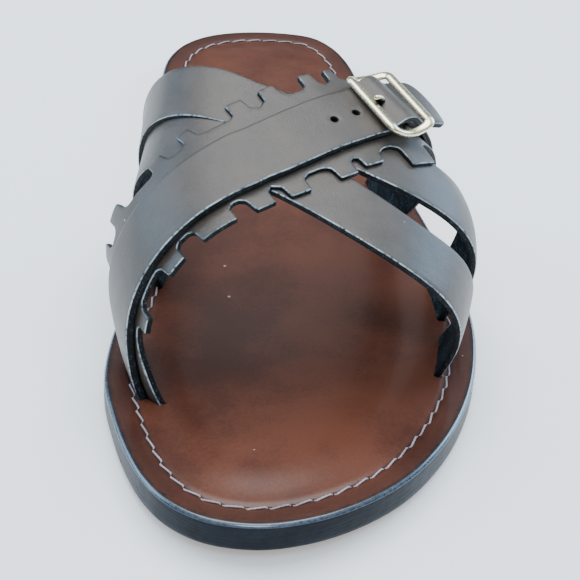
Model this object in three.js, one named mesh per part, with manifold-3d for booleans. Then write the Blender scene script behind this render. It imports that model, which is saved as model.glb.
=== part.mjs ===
// Slide sandal for the left foot, in millimetres, +Z up, toe towards -Y, outer side towards +X.
// The origin is on the floor, in the middle of the sole's length and ball width.
import * as THREE from 'three';
import { LoftGeometry } from 'three/addons/geometries/LoftGeometry.js';
import { mergeVertices } from 'three/addons/utils/BufferGeometryUtils.js';
import Module from 'manifold-3d';

const wasm = await Module();
wasm.setup();

// Driving sizes of the sole
const SHOE_LENGTH = 278;
const HEEL_WIDTH = 73;
const WAIST_WIDTH = 80;
const BALL_WIDTH = 108;
const OUTSOLE_THICKNESS = 5;
const INSOLE_THICKNESS = 3.7;
const TOE_SPRING = 5;
const SPRING_START = 0.715;
const FOOTBED_CROWN = 0.8;
const SOLE_EDGE_BEVEL = 0.9;
const RIM_ROUNDING = 1.6;
const CROWN_INSET = 12;
const STITCH_INSET = 7.5;

// Driving sizes of the last and of the leather on it
const INSTEP_HEIGHT = 70;
const CROSS_STRAP_THICKNESS = 2;
const CROSS_STRAP_WIDTH = 18.5;
const FRONT_STRAP_INNER_WIDTH = 21;
const NOTCHED_THICKNESS = 1.8;
const NOTCH_DEPTH = 5.4;
const BUCKLED_THICKNESS = 2.3;
const BUCKLED_END_THICKNESS = 1.9;
const BUCKLED_WIDTH = 19;
const FREE_END_LENGTH = 15;
const FREE_END_ROUNDING = 5.5;
const BUCKLE_STRAP_WIDTH = 15;
const BUCKLE_PLY_THICKNESS = 0.9;
const CUT_EDGE_ROUNDING = 0.35;

// Driving sizes of the buckle and of the holes for its prong
const FRAME_LONG_BAR_WIDTH = 3;
const FRAME_END_WIDTH = 2.3;
const FRAME_THICKNESS = 1.8;
const FRAME_OPENING = 10.4;
const FRAME_CORNER_RADIUS = 1.8;
const FRAME_END_BOW = 1.2;
const FRAME_SAG = 1.9;
const HINGE_BAR_DIAMETER = 1.4;
const PRONG_DIAMETER = 1.6;
const PRONG_TIP_OVERHANG = 0.6;
const PRONG_HOLE_DIAMETER = 2.6;
const SPARE_HOLE_DIAMETER = 2;
const HOLE_SPACING = 6.9;

// Clearances
const LAYER_GAP = 0.3;
const SLOT_GAP = 0.3;
const JOINED_SINK = 0.5;
const FRAME_SIDE_GAP = 0.35;
const FRAME_TOP_GAP = 0.45;
const HINGE_GAP = 0.2;
const UNDER_BUCKLE_GAP = 0.6;
const PRONG_GAP = 0.15;

// Heights that follow from the sole
const OUTSOLE_TOP = OUTSOLE_THICKNESS;
const INSOLE_BOTTOM = OUTSOLE_TOP + LAYER_GAP;
const FOOTBED_HEIGHT = INSOLE_BOTTOM + INSOLE_THICKNESS;

/** Returns a function that reads every column of a table smoothly between its rows. */
function smoothTable(rows, placeColumn) {
  const columns = Object.keys(rows[0]).filter((name) => name !== placeColumn);
  const places = rows.map((row) => row[placeColumn]);
  const samples = rows.flatMap((row) => columns.map((name) => row[name]));
  const spline = new THREE.CubicInterpolant(places, samples, columns.length);
  return (place) => {
    const values = spline.evaluate(place);
    return Object.fromEntries(columns.map((name, index) => [name, values[index]]));
  };
}

const MERGE_DISTANCE = 1e-4;

/** Returns a geometry whose corners are shared and whose collapsed triangles are gone. */
function closedGeometry(source) {
  const bare = new THREE.BufferGeometry();
  bare.setAttribute('position', source.getAttribute('position').clone());
  if (source.index) {
    bare.setIndex(source.index.clone());
  }
  const merged = mergeVertices(bare, MERGE_DISTANCE);
  const kept = [];
  for (let start = 0; start < merged.index.count; start += 3) {
    const [a, b, c] = [0, 1, 2].map((corner) => merged.index.getX(start + corner));
    if (a !== b && b !== c && c !== a) {
      kept.push(a, b, c);
    }
  }
  merged.setIndex(kept);
  return merged;
}

/** Returns a solid for cutting and joining, made from a closed geometry. */
function toSolid(source) {
  const geometry = closedGeometry(source);
  return new wasm.Manifold(new wasm.Mesh({
    numProp: 3,
    vertProperties: new Float32Array(geometry.getAttribute('position').array),
    triVerts: new Uint32Array(geometry.index.array),
  }));
}

/** Returns a geometry made from a solid. */
function toGeometry(solid) {
  const mesh = solid.getMesh();
  const geometry = new THREE.BufferGeometry();
  geometry.setAttribute('position', new THREE.BufferAttribute(mesh.vertProperties, 3));
  geometry.setIndex(new THREE.BufferAttribute(mesh.triVerts, 1));
  geometry.computeVertexNormals();
  return geometry;
}

/** Returns the place along the shoe, 0 at the heel and 1 at the toe, of a distance on Y. */
function alongOf(y) {
  return 0.5 - y / SHOE_LENGTH;
}

/** Returns the distance on Y of a place along the shoe. */
function yOf(along) {
  return (0.5 - along) * SHOE_LENGTH;
}

/** Returns how far the toe spring lifts the sole at a distance on Y. */
function springLift(y) {
  const share = THREE.MathUtils.clamp((alongOf(y) - SPRING_START) / (1 - SPRING_START), 0, 1);
  return TOE_SPRING * share * share;
}

// Outline of the sole: a row for each place along it, with the edge on the inner (big toe) side and
// on the outer side as shares of the width named in the row
const SOLE_ROWS = [
  { along: 0.012, of: HEEL_WIDTH, inner: -0.27, outer: 0.245 },
  { along: 0.04, of: HEEL_WIDTH, inner: -0.418, outer: 0.347 },
  { along: 0.08, of: HEEL_WIDTH, inner: -0.502, outer: 0.412 },
  { along: 0.13, of: HEEL_WIDTH, inner: -0.537, outer: 0.45 },
  { along: 0.2, of: HEEL_WIDTH, inner: -0.541, outer: 0.472 },
  { along: 0.28, of: WAIST_WIDTH, inner: -0.49, outer: 0.457 },
  { along: 0.38, of: WAIST_WIDTH, inner: -0.487, outer: 0.518 },
  { along: 0.48, of: WAIST_WIDTH, inner: -0.51, outer: 0.588 },
  { along: 0.56, of: BALL_WIDTH, inner: -0.407, outer: 0.477 },
  { along: 0.63, of: BALL_WIDTH, inner: -0.447, outer: 0.501 },
  { along: 0.7, of: BALL_WIDTH, inner: -0.487, outer: 0.499 },
  { along: 0.77, of: BALL_WIDTH, inner: -0.501, outer: 0.466 },
  { along: 0.83, of: BALL_WIDTH, inner: -0.477, outer: 0.41 },
  { along: 0.885, of: BALL_WIDTH, inner: -0.441, outer: 0.332 },
  { along: 0.93, of: BALL_WIDTH, inner: -0.397, outer: 0.241 },
  { along: 0.965, of: BALL_WIDTH, inner: -0.337, outer: 0.132 },
  { along: 0.99, of: BALL_WIDTH, inner: -0.25, outer: 0.006 },
];
const HEEL_TIP = new THREE.Vector3(-0.014 * BALL_WIDTH, yOf(0), 0);
const TOE_TIP = new THREE.Vector3(-0.125 * BALL_WIDTH, yOf(1), 0);
const OUTLINE_STEPS = 32;

/** Returns the points of one side of the sole's outline, from the heel to the toe. */
function outlineSide(side) {
  const edge = SOLE_ROWS.map((row) => new THREE.Vector3(row[side] * row.of, yOf(row.along), 0));
  const opposite = side === 'inner' ? 'outer' : 'inner';
  const mirror = (row) => new THREE.Vector3(row[opposite] * row.of, yOf(row.along), 0);
  const guides = [mirror(SOLE_ROWS[0]), HEEL_TIP, ...edge, TOE_TIP, mirror(SOLE_ROWS.at(-1))];
  const curve = new THREE.CatmullRomCurve3(guides, false, 'centripetal');
  const spans = guides.length - 1;
  const points = [];
  for (let step = 0; step <= OUTLINE_STEPS; step += 1) {
    points.push(curve.getPoint((1 + (step / OUTLINE_STEPS) * (spans - 2)) / spans));
  }
  return points;
}

const INNER_EDGE = outlineSide('inner');
const OUTER_EDGE = outlineSide('outer');
// The outline runs from heel to toe on the inner side and back on the outer side, so it turns
// anticlockwise seen from above
const OUTLINE = [...INNER_EDGE, ...OUTER_EDGE.slice(1, -1).reverse()];
const SPINE_END_STEPS = 8;

/** Returns the point of the sole's middle line that an outline point is nearest to in number. */
function spinePoint(index) {
  const step = index <= OUTLINE_STEPS ? index : 2 * OUTLINE_STEPS - index;
  const held = THREE.MathUtils.clamp(step, SPINE_END_STEPS, OUTLINE_STEPS - SPINE_END_STEPS);
  return INNER_EDGE[held].clone().lerp(OUTER_EDGE[held], 0.5);
}

/** Returns one ring of a sole layer: the outline moved in by an inset, then towards the spine. */
function soleRing({ inset = 0, toSpine = 0, height }) {
  return OUTLINE.map((point, index) => {
    const before = OUTLINE.at(index - 1);
    const after = OUTLINE[(index + 1) % OUTLINE.length];
    const inward = new THREE.Vector3(before.y - after.y, after.x - before.x, 0).normalize();
    const moved = point.clone().addScaledVector(inward, inset);
    moved.lerp(spinePoint(index), toSpine);
    moved.z = height + springLift(moved.y);
    return moved;
  });
}

const SPINE_SHARE = 0.4;

/** Returns a closed layer of the sole, lofted through rings from its underside to its top. */
function soleLayer(rings) {
  return new LoftGeometry(rings.map(soleRing));
}

/** Returns the outsole, flat below and bevelled at its lower edge. */
function outsoleGeometry() {
  return soleLayer([
    { toSpine: 1, height: 0 },
    { inset: STITCH_INSET, toSpine: SPINE_SHARE, height: 0 },
    { inset: SOLE_EDGE_BEVEL, height: 0 },
    { height: SOLE_EDGE_BEVEL },
    { height: OUTSOLE_TOP },
    { inset: STITCH_INSET, toSpine: SPINE_SHARE, height: OUTSOLE_TOP },
    { toSpine: 1, height: OUTSOLE_TOP },
  ]);
}

/** Returns the insole before its slots are cut: rounded at the rim and slightly crowned. */
function insoleBlank() {
  const crown = FOOTBED_HEIGHT + FOOTBED_CROWN;
  return soleLayer([
    { toSpine: 1, height: INSOLE_BOTTOM },
    { inset: STITCH_INSET, toSpine: SPINE_SHARE, height: INSOLE_BOTTOM },
    { height: INSOLE_BOTTOM },
    { height: FOOTBED_HEIGHT - RIM_ROUNDING },
    { inset: 0.3 * RIM_ROUNDING, height: FOOTBED_HEIGHT - 0.35 * RIM_ROUNDING },
    { inset: RIM_ROUNDING, height: FOOTBED_HEIGHT },
    { inset: STITCH_INSET, height: FOOTBED_HEIGHT },
    { inset: CROWN_INSET, height: FOOTBED_HEIGHT + 0.75 * FOOTBED_CROWN },
    { inset: CROWN_INSET, toSpine: SPINE_SHARE, height: crown },
    { toSpine: 1, height: crown },
  ]);
}

// Sections of the last above the footbed: a row for each place along the shoe. Sideways lengths are
// shares of the ball width and heights are shares of the instep height. On each side an arch starts
// at the foot of the straps, leans out while it rises and turns over to the crest; full says how
// square its shoulder is.
const LAST_ROWS = [
  { along: 0.93, innerFoot: -0.23, innerLean: 0.078, innerRise: 0.35, innerFull: 0.2,
    outerFoot: 0.1, outerLean: 0.095, outerRise: 0.43, outerFull: 0.92, crest: -0.115, height: 0.58 },
  { along: 0.821, innerFoot: -0.353, innerLean: 0.1, innerRise: 0.425, innerFull: 0.5,
    outerFoot: 0.3, outerLean: 0.118, outerRise: 0.43, outerFull: 1.02, crest: -0.128, height: 0.68 },
  { along: 0.714, innerFoot: -0.407, innerLean: 0.122, innerRise: 0.503, innerFull: 0.8,
    outerFoot: 0.389, outerLean: 0.134, outerRise: 0.43, outerFull: 1.09, crest: -0.141, height: 0.785 },
  { along: 0.643, innerFoot: -0.372, innerLean: 0.142, innerRise: 0.555, innerFull: 0.95,
    outerFoot: 0.4, outerLean: 0.141, outerRise: 0.427, outerFull: 1.12, crest: -0.15, height: 0.858 },
  { along: 0.571, innerFoot: -0.325, innerLean: 0.163, innerRise: 0.61, innerFull: 1.08,
    outerFoot: 0.372, outerLean: 0.07, outerRise: 0.46, outerFull: 0.9, crest: -0.158, height: 0.933 },
  { along: 0.5, innerFoot: -0.302, innerLean: 0.178, innerRise: 0.66, innerFull: 1.19,
    outerFoot: 0.32, outerLean: 0.03, outerRise: 0.49, outerFull: 0.8, crest: -0.167, height: 1.01 },
  { along: 0.393, innerFoot: -0.307, innerLean: 0.2, innerRise: 0.74, innerFull: 1.3,
    outerFoot: 0.27, outerLean: 0.04, outerRise: 0.5, outerFull: 0.8, crest: -0.18, height: 1.13 },
];
const lastRow = smoothTable([...LAST_ROWS].reverse(), 'along');
const ARCH_DIVISIONS = 24;

/** Returns half a section of the last, as a curve from its crest to the foot of the straps. */
function halfArch(side, y) {
  const row = lastRow(alongOf(y));
  const floor = FOOTBED_HEIGHT + springLift(y);
  const away = side === 'inner' ? -1 : 1;
  const crestX = row.crest * BALL_WIDTH;
  const footX = row[`${side}Foot`] * BALL_WIDTH;
  const crestZ = floor + row.height * INSTEP_HEIGHT;
  const curve = new THREE.CubicBezierCurve3(
    new THREE.Vector3(crestX, y, crestZ),
    new THREE.Vector3(crestX + row[`${side}Full`] * (footX - crestX), y, crestZ),
    new THREE.Vector3(
      footX + away * row[`${side}Lean`] * BALL_WIDTH,
      y,
      floor + row[`${side}Rise`] * INSTEP_HEIGHT,
    ),
    new THREE.Vector3(footX, y, floor),
  );
  curve.arcLengthDivisions = ARCH_DIVISIONS;
  return curve;
}

/**
 * Returns a point of the last. Around is 0 at the crest, -1 at the inner foot of the straps and 1 at
 * the outer foot, and goes on past them in a straight line, down into the slots.
 */
function lastPoint(around, y) {
  const arch = halfArch(around < 0 ? 'inner' : 'outer', y);
  const share = Math.min(Math.abs(around), 1);
  const point = arch.getPointAt(share);
  const beyond = Math.abs(around) - share;
  if (beyond > 0) {
    point.addScaledVector(arch.getTangentAt(1), beyond * arch.getLength());
  }
  return point;
}

const AROUND_PROBE = 0.01;
const Y_PROBE = 1;

/** Returns a point of the last with its directions: around, towards the heel and outwards. */
function lastFrame(around, y) {
  const point = lastPoint(around, y);
  const perAround = lastPoint(around + AROUND_PROBE, y)
    .sub(lastPoint(around - AROUND_PROBE, y))
    .divideScalar(2 * AROUND_PROBE);
  const perY = lastPoint(around, y + Y_PROBE)
    .sub(lastPoint(around, y - Y_PROBE))
    .divideScalar(2 * Y_PROBE);
  const outward = perAround.clone().cross(perY).normalize();
  return { around, y, point, perAround, perY, outward };
}

/** Returns the distance on Y of a strap's middle line at a place around the last. */
function pathY(path, around) {
  return yOf(path(THREE.MathUtils.clamp(around, -1, 1)).along);
}

/** Returns the step of a strap's middle line over twice the probe, at a place around the last. */
function pathStep(path, around) {
  const ahead = lastPoint(around + AROUND_PROBE, pathY(path, around + AROUND_PROBE));
  const behind = lastPoint(around - AROUND_PROBE, pathY(path, around - AROUND_PROBE));
  return ahead.sub(behind);
}

/** Returns the direction of a strap's middle line at a place around the last. */
function pathHeading(path, around) {
  return pathStep(path, around).normalize();
}

/** Returns the length of a strap's middle line for a unit of around, at a place around the last. */
function pathSpan(path, around) {
  return pathStep(path, around).length() / (2 * AROUND_PROBE);
}

const SQUARE_FROM = 0.8;
const ACROSS_STEP = 3;

/** Moves over the last at right angles to a heading, squaring up to the slots near the feet. */
function stepAcross(place, heading, distance) {
  const frame = lastFrame(place.around, place.y);
  const alongAround = frame.perAround.dot(heading);
  const alongY = frame.perY.dot(heading);
  const across = frame.perY.clone().multiplyScalar(alongAround);
  const size = across.addScaledVector(frame.perAround, -alongY).length();
  const square = THREE.MathUtils.smoothstep(Math.abs(place.around), SQUARE_FROM, 1);
  const perpendicularY = alongAround / size;
  return {
    around: place.around - (1 - square) * (alongY / size) * distance,
    y: place.y + THREE.MathUtils.lerp(perpendicularY, 1 / frame.perY.length(), square) * distance,
  };
}

/** Returns the place on the last at a distance across a strap from its middle line. */
function placeAcross(path, around, distance) {
  const heading = pathHeading(path, around);
  const steps = Math.max(1, Math.ceil(Math.abs(distance) / ACROSS_STEP));
  let place = { around, y: pathY(path, around) };
  for (let step = 0; step < steps; step += 1) {
    place = stepAcross(place, heading, distance / steps);
  }
  return place;
}

/** Returns the point that stands a height above a place across a strap. */
function strapPoint(path, around, distance, height) {
  const place = placeAcross(path, around, distance);
  const frame = lastFrame(place.around, place.y);
  return frame.point.addScaledVector(frame.outward, height);
}

const COLUMNS = [-1, -0.6, -0.2, 0.2, 0.6, 1];

/** Returns one closed section of a strap with rounded upper edges. */
function strapSection(strap, around) {
  const { path, front, back, under, thickness, rounding, place = strapPoint } = strap;
  const top = under(around) + thickness(around);
  const halfWidth = (share) => (share < 0 ? front(around) : back(around));
  const pointAt = (distance, height) => place(path, around, distance, height);
  const lower = COLUMNS.map((share) => pointAt(share * halfWidth(share), under(around)));
  const upper = COLUMNS.map((share) => {
    const atEdge = Math.abs(share) === 1 ? rounding : 0;
    return pointAt(Math.sign(share) * (Math.abs(share) * halfWidth(share) - atEdge), top);
  });
  const backSide = pointAt(back(around), top - rounding);
  const frontSide = pointAt(-front(around), top - rounding);
  return [...lower, backSide, ...upper.reverse(), frontSide];
}

/** Returns a strap lofted over the last through sections at the given places around it. */
function strapGeometry(strap, stations) {
  const sections = stations.map((around) => strapSection(strap, around));
  return new LoftGeometry(sections, { capStart: true, capEnd: true });
}

/** Returns evenly spaced numbers from first to last. */
function evenly(first, last, count) {
  return Array.from({ length: count }, (_, index) => (
    THREE.MathUtils.lerp(first, last, index / (count - 1))
  ));
}

/** Returns the place around the last where a strap's end stands just above the outsole. */
function footEnd(side, strap) {
  const around = side === 'inner' ? -1 : 1;
  const arch = halfArch(side, pathY(strap.path, around));
  const downward = arch.getTangentAt(1);
  const lean = Math.abs(downward.x) * (strap.under(around) + strap.thickness(around));
  const drop = FOOTBED_HEIGHT - OUTSOLE_TOP - LAYER_GAP - lean;
  return around * (1 + drop / (Math.abs(downward.z) * arch.getLength()));
}

// Middle lines of the straps: places along the shoe for places around the last
const rearPath = smoothTable([
  { around: -1, along: 0.499 },
  { around: -0.5, along: 0.531 },
  { around: 0, along: 0.612 },
  { around: 0.5, along: 0.673 },
  { around: 1, along: 0.633 },
], 'around');
const frontPath = smoothTable([
  { around: -1, along: 0.577 },
  { around: -0.5, along: 0.592 },
  { around: 0, along: 0.681 },
  { around: 0.5, along: 0.772 },
  { around: 1, along: 0.73 },
], 'around');
const buckledPath = smoothTable([
  { around: -1, along: 0.769 },
  { around: -0.5, along: 0.755 },
  { around: 0, along: 0.696 },
  { around: 0.25, along: 0.632 },
  { around: 0.5, along: 0.567 },
  { around: 1, along: 0.443 },
], 'around');

/** Returns a smooth rise from 0 to 1 and back over four places around the last. */
function plateau(around, [startRise, endRise, startFall, endFall]) {
  return THREE.MathUtils.smoothstep(around, startRise, endRise)
    * (1 - THREE.MathUtils.smoothstep(around, startFall, endFall));
}

// Where one layer climbs over another: start and end of its rise and of its fall
const REAR_OVER_FRONT = [-1, -0.75, -0.3, 0.1];
const NOTCHED_OVER_CROSS = [-0.85, -0.5, 0.6, 0.95];

const rearStrap = {
  path: rearPath,
  front: () => CROSS_STRAP_WIDTH / 2,
  back: () => CROSS_STRAP_WIDTH / 2,
  under: (around) => (CROSS_STRAP_THICKNESS - JOINED_SINK) * plateau(around, REAR_OVER_FRONT),
  thickness: () => CROSS_STRAP_THICKNESS,
  rounding: CUT_EDGE_ROUNDING,
};

/** Returns half the width of the front cross strap, which tapers towards the outer side. */
function frontStrapHalfWidth(around) {
  const share = THREE.MathUtils.smoothstep(around, -0.6, 0);
  return THREE.MathUtils.lerp(FRONT_STRAP_INNER_WIDTH, CROSS_STRAP_WIDTH, share) / 2;
}

const frontStrap = {
  path: frontPath,
  front: frontStrapHalfWidth,
  back: frontStrapHalfWidth,
  under: () => 0,
  thickness: () => CROSS_STRAP_THICKNESS,
  rounding: CUT_EDGE_ROUNDING,
};

// Teeth of the notched strap, from the inner side to the outer side: where each one starts and ends
// around the last, and how far it reaches out as a share of the notch depth
const FRONT_TEETH = [
  { from: -0.65, to: -0.59, reach: 1 },
  { from: -0.435, to: -0.355, reach: 1 },
  { from: -0.275, to: -0.155, reach: 1 },
  { from: -0.095, to: -0.03, reach: 1 },
  { from: 0.028, to: 0.072, reach: 1 },
  { from: 0.143, to: 0.187, reach: 1 },
  { from: 0.218, to: 0.27, reach: 0.8 },
  { from: 0.335, to: 0.412, reach: 1.4 },
];
const BACK_TEETH = [
  { from: -0.64, to: -0.535, reach: 1 },
  { from: -0.45, to: -0.38, reach: 1 },
  { from: -0.225, to: -0.165, reach: 1 },
  { from: -0.088, to: -0.04, reach: 1 },
  { from: 0.057, to: 0.1, reach: 1 },
  { from: 0.147, to: 0.187, reach: 1 },
  { from: 0.25, to: 0.28, reach: 1 },
  { from: 0.32, to: 0.345, reach: 1 },
];
const TOOTH_FLANK = 0.004;
const VALLEY_FILLET = 0.02;
const VALLEY_FILLET_DEPTH = 0.22;
const SAME_PLACE = 0.001;

/** Returns the corners of a notched edge as places around the last with shares of the depth. */
function notchCorners(teeth) {
  return teeth.flatMap(({ from, to, reach }) => [
    { around: from - VALLEY_FILLET, share: 0 },
    { around: from - TOOTH_FLANK, share: VALLEY_FILLET_DEPTH },
    { around: from, share: reach },
    { around: to, share: reach },
    { around: to + TOOTH_FLANK, share: VALLEY_FILLET_DEPTH },
    { around: to + VALLEY_FILLET, share: 0 },
  ]);
}

/** Returns how far a notched edge stands out at a place around the last, as a share of the depth. */
function notchShare(corners, around) {
  const next = corners.findIndex((corner) => corner.around >= around);
  if (next <= 0) {
    return 0;
  }
  const [before, after] = [corners[next - 1], corners[next]];
  const share = (around - before.around) / (after.around - before.around);
  return THREE.MathUtils.lerp(before.share, after.share, share);
}

const FRONT_CORNERS = notchCorners(FRONT_TEETH);
const BACK_CORNERS = notchCorners(BACK_TEETH);
const NOTCHED_TOP = (around) => notchedStrap.under(around) + NOTCHED_THICKNESS;

// Reach of the notched strap at its valleys, in front of the buckled strap's middle line and behind it
const notchedReach = smoothTable([
  { around: -1, front: 10.4, back: 16.4 },
  { around: -0.1, front: 10.4, back: 16.4 },
  { around: 0.15, front: 11.8, back: 15.9 },
  { around: 0.35, front: 12.8, back: 15.2 },
  { around: 1, front: 12.8, back: 15.2 },
], 'around');

/** Returns the reach of one edge of the notched strap, with its teeth. */
function notchedEdge(side, corners, around) {
  const held = THREE.MathUtils.clamp(around, -1, 1);
  return notchedReach(held)[side] + NOTCH_DEPTH * notchShare(corners, around);
}

const notchedStrap = {
  path: buckledPath,
  front: (around) => notchedEdge('front', FRONT_CORNERS, around),
  back: (around) => notchedEdge('back', BACK_CORNERS, around),
  under: (around) => (
    (CROSS_STRAP_THICKNESS - JOINED_SINK) * plateau(around, NOTCHED_OVER_CROSS)
  ),
  thickness: () => NOTCHED_THICKNESS,
  rounding: CUT_EDGE_ROUNDING,
};

const CROSS_STATIONS = 31;
const NOTCHED_STATIONS = 30;

/** Returns the places around the last of a strap's sections, from one foot to the other. */
function footToFoot(strap, count) {
  return [footEnd('inner', strap), ...evenly(-1, 1, count), footEnd('outer', strap)];
}

/** Returns the stations of the notched strap: even ones, and one at each corner of a tooth. */
function notchedStations() {
  const corners = [...FRONT_CORNERS, ...BACK_CORNERS].map((corner) => corner.around);
  const even = footToFoot(notchedStrap, NOTCHED_STATIONS)
    .filter((place) => corners.every((corner) => Math.abs(corner - place) > VALLEY_FILLET));
  const sorted = [...even, ...corners].sort((a, b) => a - b);
  return sorted.filter((place, index) => index === 0 || place - sorted[index - 1] > SAME_PLACE);
}

/** Returns the joined straps of the upper. */
function upperGeometry() {
  const rear = toSolid(strapGeometry(rearStrap, footToFoot(rearStrap, CROSS_STATIONS)));
  const front = toSolid(strapGeometry(frontStrap, footToFoot(frontStrap, CROSS_STATIONS)));
  const notched = toSolid(strapGeometry(notchedStrap, notchedStations()));
  return toGeometry(rear.add(front).add(notched));
}

// The buckle sits on the buckled strap, on the outer side of the instep. Distances along it start at
// its hinge bar and grow towards the outer side; heights start at the top of the notched strap.
const BUCKLE_AROUND = 0.373;
const LOOP_INNER_RADIUS = HINGE_BAR_DIAMETER / 2 + HINGE_GAP;
const LOOP_OUTER_RADIUS = LOOP_INNER_RADIUS + BUCKLE_PLY_THICKNESS;
const HINGE_HEIGHT = UNDER_BUCKLE_GAP + LOOP_OUTER_RADIUS;
const STRAP_OVER_LOOP = HINGE_HEIGHT + LOOP_OUTER_RADIUS + LAYER_GAP;
const STRAP_OVER_PLIES = UNDER_BUCKLE_GAP + 2 * BUCKLE_PLY_THICKNESS + LAYER_GAP;
const FREE_END_RISE = 4.6;
const MILLIMETRES_PER_AROUND = pathSpan(buckledPath, BUCKLE_AROUND);

/** Returns the distance along the buckle of a place around the last. */
function buckleAlong(around) {
  return (around - BUCKLE_AROUND) * MILLIMETRES_PER_AROUND;
}

/** Returns the place around the last of a distance along the buckle. */
function aroundOf(distance) {
  return BUCKLE_AROUND + distance / MILLIMETRES_PER_AROUND;
}

// Directions of the buckle: along the strap, across it towards the heel, and up from the leather
const BUCKLE_UP = lastFrame(BUCKLE_AROUND, pathY(buckledPath, BUCKLE_AROUND)).outward;
const BUCKLE_ACROSS = BUCKLE_UP.clone().cross(pathHeading(buckledPath, BUCKLE_AROUND)).normalize();
const BUCKLE_ALONG = BUCKLE_ACROSS.clone().cross(BUCKLE_UP);
const STRAIGHT_REACH = 9;
const STRAIGHT_FADE = 16;
const SLIGHT_BEND = 0.04;

/** Returns a point of a strap that lies straight across the buckle and follows the last elsewhere. */
function straightenedPoint(path, around, distance, height) {
  const onLast = strapPoint(path, around, distance, height);
  const straight = strapPoint(path, around, 0, height).addScaledVector(BUCKLE_ACROSS, distance);
  const fade = THREE.MathUtils.smoothstep(
    Math.abs(buckleAlong(around)),
    STRAIGHT_REACH,
    STRAIGHT_FADE,
  );
  return straight.lerp(onLast, THREE.MathUtils.lerp(SLIGHT_BEND, 1, fade));
}

// Underside of the buckled strap where it passes under the frame and over the hinge bar
const buckledLift = smoothTable([
  { distance: -24, lift: LAYER_GAP },
  { distance: -12, lift: LAYER_GAP },
  { distance: -8.5, lift: 1.3 * LAYER_GAP },
  { distance: -6.2, lift: 0.2 * STRAP_OVER_LOOP },
  { distance: -4.2, lift: 0.48 * STRAP_OVER_LOOP },
  { distance: -2, lift: 0.86 * STRAP_OVER_LOOP },
  { distance: 0, lift: STRAP_OVER_LOOP },
  { distance: 2, lift: 0.92 * STRAP_OVER_LOOP },
  { distance: 4.2, lift: 0.7 * STRAP_OVER_LOOP },
  { distance: 6.2, lift: STRAP_OVER_PLIES },
  { distance: 9, lift: STRAP_OVER_PLIES + 0.25 * FREE_END_RISE },
  { distance: FREE_END_LENGTH, lift: STRAP_OVER_PLIES + FREE_END_RISE },
], 'distance');

/** Returns half the width of the buckled strap, which is rounded at its free end. */
function buckledHalfWidth(around) {
  const intoEnd = Math.max(0, buckleAlong(around) - FREE_END_LENGTH + FREE_END_ROUNDING);
  return (BUCKLED_WIDTH / 2) * Math.sqrt(Math.max(0, 1 - (intoEnd / FREE_END_ROUNDING) ** 2));
}

const buckledStrap = {
  path: buckledPath,
  front: buckledHalfWidth,
  back: buckledHalfWidth,
  under: (around) => NOTCHED_TOP(around) + buckledLift(buckleAlong(around)).lift,
  thickness: (around) => {
    const thin = THREE.MathUtils.smoothstep(around, 0.1, 0.3);
    return THREE.MathUtils.lerp(BUCKLED_THICKNESS, BUCKLED_END_THICKNESS, thin);
  },
  rounding: CUT_EDGE_ROUNDING,
  place: straightenedPoint,
};
const BUCKLED_STATIONS = 28;
const BUCKLE_STATIONS = 14;
const BEND_START = -10;
const ROUNDING_SHARES = [0.3, 0.55, 0.75, 0.9, 0.98];

/** Returns the stations of the buckled strap: close together at the buckle and at the free end. */
function buckledStations() {
  const roundingStart = FREE_END_LENGTH - FREE_END_ROUNDING;
  return [
    footEnd('inner', buckledStrap),
    ...evenly(-1, aroundOf(BEND_START), BUCKLED_STATIONS).slice(0, -1),
    ...evenly(aroundOf(BEND_START), aroundOf(roundingStart), BUCKLE_STATIONS),
    ...ROUNDING_SHARES.map((share) => aroundOf(roundingStart + share * FREE_END_ROUNDING)),
  ];
}

const HINGE_CENTRE = strapPoint(
  buckledPath,
  BUCKLE_AROUND,
  0,
  NOTCHED_TOP(BUCKLE_AROUND) + HINGE_HEIGHT,
);

/** Returns the point at distances along, across and up from the middle of the hinge bar. */
function bucklePoint(along, across, up) {
  return HINGE_CENTRE.clone()
    .addScaledVector(BUCKLE_ALONG, along)
    .addScaledVector(BUCKLE_ACROSS, across)
    .addScaledVector(BUCKLE_UP, up);
}

const ROD_SIDES = 10;

/** Returns a straight round rod between two points. */
function rod(start, end, radius) {
  const span = end.clone().sub(start);
  const geometry = new THREE.CylinderGeometry(radius, radius, span.length(), ROD_SIDES);
  const turn = new THREE.Quaternion()
    .setFromUnitVectors(new THREE.Vector3(0, 1, 0), span.clone().normalize());
  geometry.applyQuaternion(turn);
  geometry.translate(...start.clone().lerp(end, 0.5).toArray());
  return toSolid(geometry);
}

// Middle lines of the frame's bars, measured from the hinge bar
const LONG_BAR_ALONG = (FRAME_OPENING + FRAME_LONG_BAR_WIDTH) / 2;
const BAR_EDGE_SHARE = 0.4;
const FRAME_END_ACROSS = BUCKLED_WIDTH / 2 + FRAME_SIDE_GAP + FRAME_END_WIDTH / 2;
const BAR_EDGE_ALONG = LONG_BAR_ALONG - BAR_EDGE_SHARE * FRAME_LONG_BAR_WIDTH;
const INNER_BAR_UP = buckledTopAt(-BAR_EDGE_ALONG);
const OUTER_BAR_UP = buckledTopAt(BAR_EDGE_ALONG);

/** Returns the height over the hinge bar of a frame bar that lies on the buckled strap. */
function buckledTopAt(distance) {
  const onStrap = buckledLift(distance).lift + BUCKLED_END_THICKNESS - HINGE_HEIGHT;
  return onStrap + FRAME_TOP_GAP + FRAME_THICKNESS / 2;
}

/** Returns the height of the frame's middle line: it sags between its two long bars. */
function frameUp(along) {
  const share = along / LONG_BAR_ALONG;
  const straight = THREE.MathUtils.lerp(INNER_BAR_UP, OUTER_BAR_UP, (share + 1) / 2);
  return straight - FRAME_SAG * (1 - share * share);
}

const CORNER_STEPS = 4;
const END_STEPS = 4;

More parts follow.
